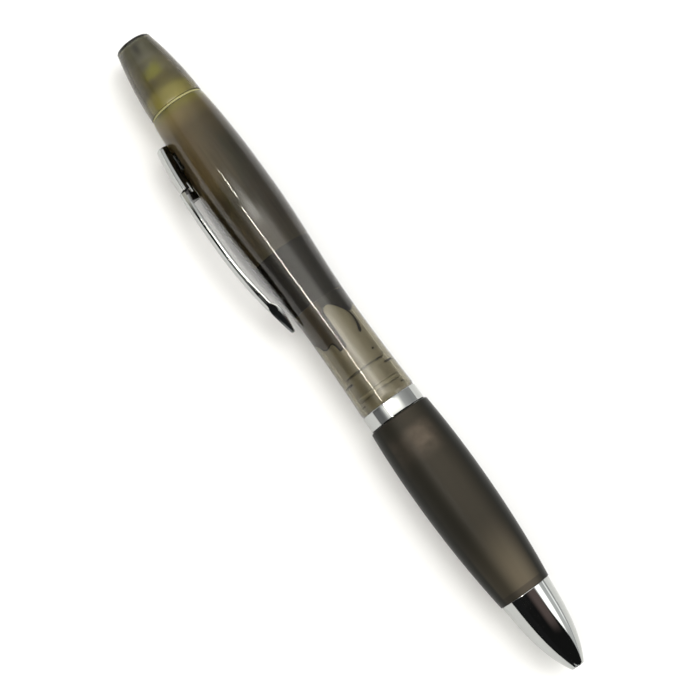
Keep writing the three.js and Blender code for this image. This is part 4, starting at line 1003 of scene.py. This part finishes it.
# Refill: a clear plastic tube of blue ink with a brass tip, which holds a steel ball.
tube_look = mottled(
    "refill_plastic", 0.2, 1.0, 3.0, (0.8, 0.8, 0.78), (0.92, 0.92, 0.9), Transmission_Weight=0.8, IOR=1.49,
)
tube_line = [[73.45, 1.0], [73.45, 1.5], [130.45, 1.5], [130.45, 1.0]]
refill_shell = turned("refill_shell", tube_line, sides=48)
finish_piece(refill_shell, tube_look, "refill_plastic", "refill", "refill_tube")

ink_look = mottled("ink", 0.2, 0.8, 5.0, (0.008, 0.014, 0.07), (0.02, 0.035, 0.14))
ink_line = [[79.35, 0], [79.5, 0.5], [79.6, 0.9], [127.35, 0.9], [127.35, 0]]
finish_piece(turned("ink_column", ink_line, 0.03, sides=48), ink_look, "ink", "refill", "refill_ink")

brass_look = mottled(
    "brass", 0.25, 0.06, 0.3, (0.66, 0.48, 0.2), (0.82, 0.64, 0.32), relief=0.004, Metallic=1.0,
)
tip_line = [
    [127.45, 0], [127.45, 0.9], [130.55, 0.9], [130.55, 1.9], [131.25, 1.9], [131.25, 1.15],
    [136.35, 1.15], [136.35, 0.8], [141.85, 0.8], [143.65, 0.48], [143.65, 0.39], [143.5, 0.4],
    [143.3, 0.31], [143.15, 0],
]
finish_piece(turned("tip_body", tip_line, 0.04, sides=64), brass_look, "brass", "refill", "tip_holder")

steel_look, tree, shader = material("steel", 0.2, Metallic=1.0)
satin = streaked(tree, 0.1, 1.0)
paint(tree, shader, satin, (0.5, 0.51, 0.52), (0.66, 0.67, 0.68))
tree.links.new(value_by(tree, satin, 0.15, 0.3), shader.inputs["Roughness"])
BALL_STATION, BALL_RADIUS = 143.55, 0.349
arc = np.linspace(0, np.pi, 20)
ball_line = np.stack([BALL_STATION - BALL_RADIUS * np.cos(arc), BALL_RADIUS * np.sin(arc)], -1)
ball_line[[0, -1], 1] = 0
finish_piece(turned("ball_point", ball_line, 0.0, sides=32), steel_look, "steel", "refill", "writing_ball")


# Return spring: a coil of steel wire between the tip's flange and the cone's shoulder. It shortens
# as the refill comes forward.
def spring_grid(turns=8, steps=32, sides=10):
    """A circle of the wire's radius carried along a helix: at each step its plane holds the
    direction outward from the axis and the one square to that and to the helix."""
    share = np.linspace(0, 1, turns * steps).reshape(-1, 1)
    angle = 2 * np.pi * turns * share
    coil, wire, first, last = 1.725, 0.172, 131.525, 141.225
    slope = (last - first) / (turns * 2 * np.pi * coil)
    station = first + (last - first) * share
    turn = circle(sides)
    out, side = wire * np.cos(turn), wire * np.sin(turn) / math.hypot(1, slope)
    radius, ahead, behind = coil + out, side, -side * slope
    y = radius * np.cos(angle) - behind * np.sin(angle)
    z = radius * np.sin(angle) + behind * np.cos(angle)
    return placed(station + ahead, -y, z)


spring = skin("spring_coil", spring_grid(), False)
finish_piece(spring, steel_look, "steel", "grip_section", "return_spring")
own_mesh(spring)


# Floor and light: a white sheet of paper under a broad, soft light overhead. The room beside the
# clip and whoever stands at the nose are dark, and so is what the chrome mirrors there.
bpy.ops.mesh.primitive_plane_add(size=6.0, location=(0, 0, 0))
floor = bpy.context.object
floor.name = "floor"
paper, tree, shader = material("paper", 0.9)
tooth = add(tree, "TexNoise", {"Vector": add(tree, "TexCoord").outputs["Object"], "Scale": 900.0})
paint(tree, shader, tooth.outputs["Fac"], (0.86, 0.86, 0.85), (0.88, 0.88, 0.87))
shader.inputs["Specular IOR Level"].default_value = 0.0
shader.inputs["Emission Color"].default_value = (1, 1, 1, 1)
path = add(tree, "LightPath").outputs
seen = compute(tree, "MAXIMUM", path["Is Camera Ray"], path["Is Transmission Ray"])
seen = compute(tree, "MAXIMUM", seen, path["Is Glossy Ray"])
tree.links.new(compute(tree, "MULTIPLY", seen, 0.08), shader.inputs["Emission Strength"])
floor.data.materials.append(paper)

world = bpy.data.worlds.new("studio")
scene.world = world
world.use_nodes = True
tree = world.node_tree
tree.nodes.clear()
apart = add(tree, "SeparateXYZ", {0: add(tree, "TexCoord").outputs["Generated"]}).outputs
about = compute(tree, "ARCTAN2", compute(tree, "MULTIPLY", apart[1], -1.0), apart[2])
ahead = compute(tree, "ARCSINE", apart[0])


def edge(angle, low, high):
    """Rises from 0 to 1 between two angles in degrees, or falls where the first is the larger."""
    return ramp(tree, angle, math.radians(low), math.radians(high), soft=True)


def window(angle, first, last, soft=3.0):
    """1 where an angle lies between two limits, in degrees, falling to 0 over a soft edge."""
    rise, fall = edge(angle, first - soft, first + soft), edge(angle, last + soft, last - soft)
    return compute(tree, "MULTIPLY", rise, fall)


def panel(below, brightness, across, lengthwise):
    """Lays a panel of an even brightness over what is there, between two angles round the pen and
    two along it, and returns the new brightness."""
    mask = compute(tree, "MULTIPLY", window(about, *across), window(ahead, *lengthwise))
    return colour_by(tree, mask, below, brightness)


def added(below, brightness, across, lengthwise):
    """Adds a lamp of an even brightness to what is there, with soft edges, between two angles
    round the pen and two along it. Each edge is a pair of angles."""
    mask = edge(about, *across[0])
    for angle, pair in ((about, across[1]), (ahead, lengthwise[0]), (ahead, lengthwise[1])):
        mask = compute(tree, "MULTIPLY", mask, edge(angle, *pair))
    lamp = add(tree, "VectorMath", {0: brightness, "Scale": mask}, operation="SCALE").outputs[0]
    return add(tree, "VectorMath", {0: below, 1: lamp}, operation="ADD").outputs[0]


ceiling = add(tree, "ValToRGB", {0: ramp(tree, about, -math.pi, math.pi)})
steps = (
    (-90, 0.6), (-84, 0.55), (-68, 0.48), (-47, 0.62), (-31, 0.82), (-22, 0.92), (49, 0.92),
    (57, 0.36), (66, 0.24), (84, 0.28), (90, 0.3),
)
while len(ceiling.color_ramp.elements) < len(steps):
    ceiling.color_ramp.elements.new(0.5)
for element, (degrees, value) in zip(ceiling.color_ramp.elements, steps):
    element.position = degrees / 360 + 0.5
    element.color = (value, value, value * 0.985, 1)
light = ceiling.outputs[0]
# the dark room beside the clip, and its pale window
light = panel(light, (0.03, 0.03, 0.032), (55, 180), (-90, -9))
light = added(light, (0.75, 0.73, 0.64), ((58, 66), (125, 105)), ((-62, -55), (-16, -23)))
# the pale wall across from it, with two bright strips that the cone mirrors
light = panel(light, (0.95, 0.96, 0.95), (-86, -10), (9, 90))
light = added(light, (2.2, 2.2, 2.15), ((-57, -49), (-28, -33)), ((5, 9), (44, 18)))
light = added(light, (1.1, 1.1, 1.1), ((-82, -79), (-72, -76)), ((5, 9), (24, 15)))
# whoever stands at the nose, leaning over, the dark behind them, and their warm side
lean = compute(tree, "MULTIPLY", compute(tree, "MULTIPLY", ahead, ahead), 2.2)
leaning = compute(tree, "ADD", about, lean)
figure = compute(tree, "MULTIPLY", window(leaning, -21, 175), window(ahead, 9, 100))
light = colour_by(tree, figure, light, (0.014, 0.014, 0.014))
light = panel(light, (0.02, 0.02, 0.021), (54, 150), (3.5, 90))
light = added(light, (0.17, 0.125, 0.115), ((-34, -20), (22, -4)), ((7, 11), (30, 17)))
# the soft lamp overhead, which the belly and the ring mirror
light = added(light, (5.5, 5.4, 5.1), ((-10, 10), (40, 9)), ((-15, -8), (-4.5, -8)))
light = added(light, (2.3, 2.25, 2.1), ((-34, -8), (54, 30)), ((-10, -6), (8, -5)))
# the lamp's tube in two lengths, the thin line along the barrel
light = added(light, (36.0, 34.5, 31.0), ((24.4, 25.0), (26.9, 26.3)), ((-14.6, -13.6), (-10.7, -11.4)))
light = added(light, (60.0, 57.0, 52.0), ((32.7, 33.1), (34.9, 34.5)), ((-9.6, -8.7), (8, 7)))
light = colour_by(tree, add(tree, "LightPath").outputs["Is Camera Ray"], light, (1.0, 1.0, 1.0))
shown = add(tree, "Background", {"Color": light, "Strength": 1.0})
tree.links.new(shown.outputs[0], add(tree, "OutputWorld").inputs["Surface"])

LAMP_HEIGHT = 1.1
for degrees, energy in ((-22, 7.4), (48, 1.6)):
    softbox = bpy.data.lights.new("softbox", "AREA")
    softbox.shape = "RECTANGLE"
    softbox.size, softbox.size_y, softbox.energy = 1.2, 0.8, energy
    lamp = bpy.data.objects.new("softbox", softbox)
    swing = Matrix.Rotation(math.radians(degrees), 4, "X")
    lamp.matrix_world = swing @ Matrix.Translation((0, 0, LAMP_HEIGHT))
    lamp.visible_glossy = False
    scene.collection.objects.link(lamp)
scene.view_settings.view_transform = "Standard"
scene.cycles.max_bounces = 16
scene.cycles.transmission_bounces = 16
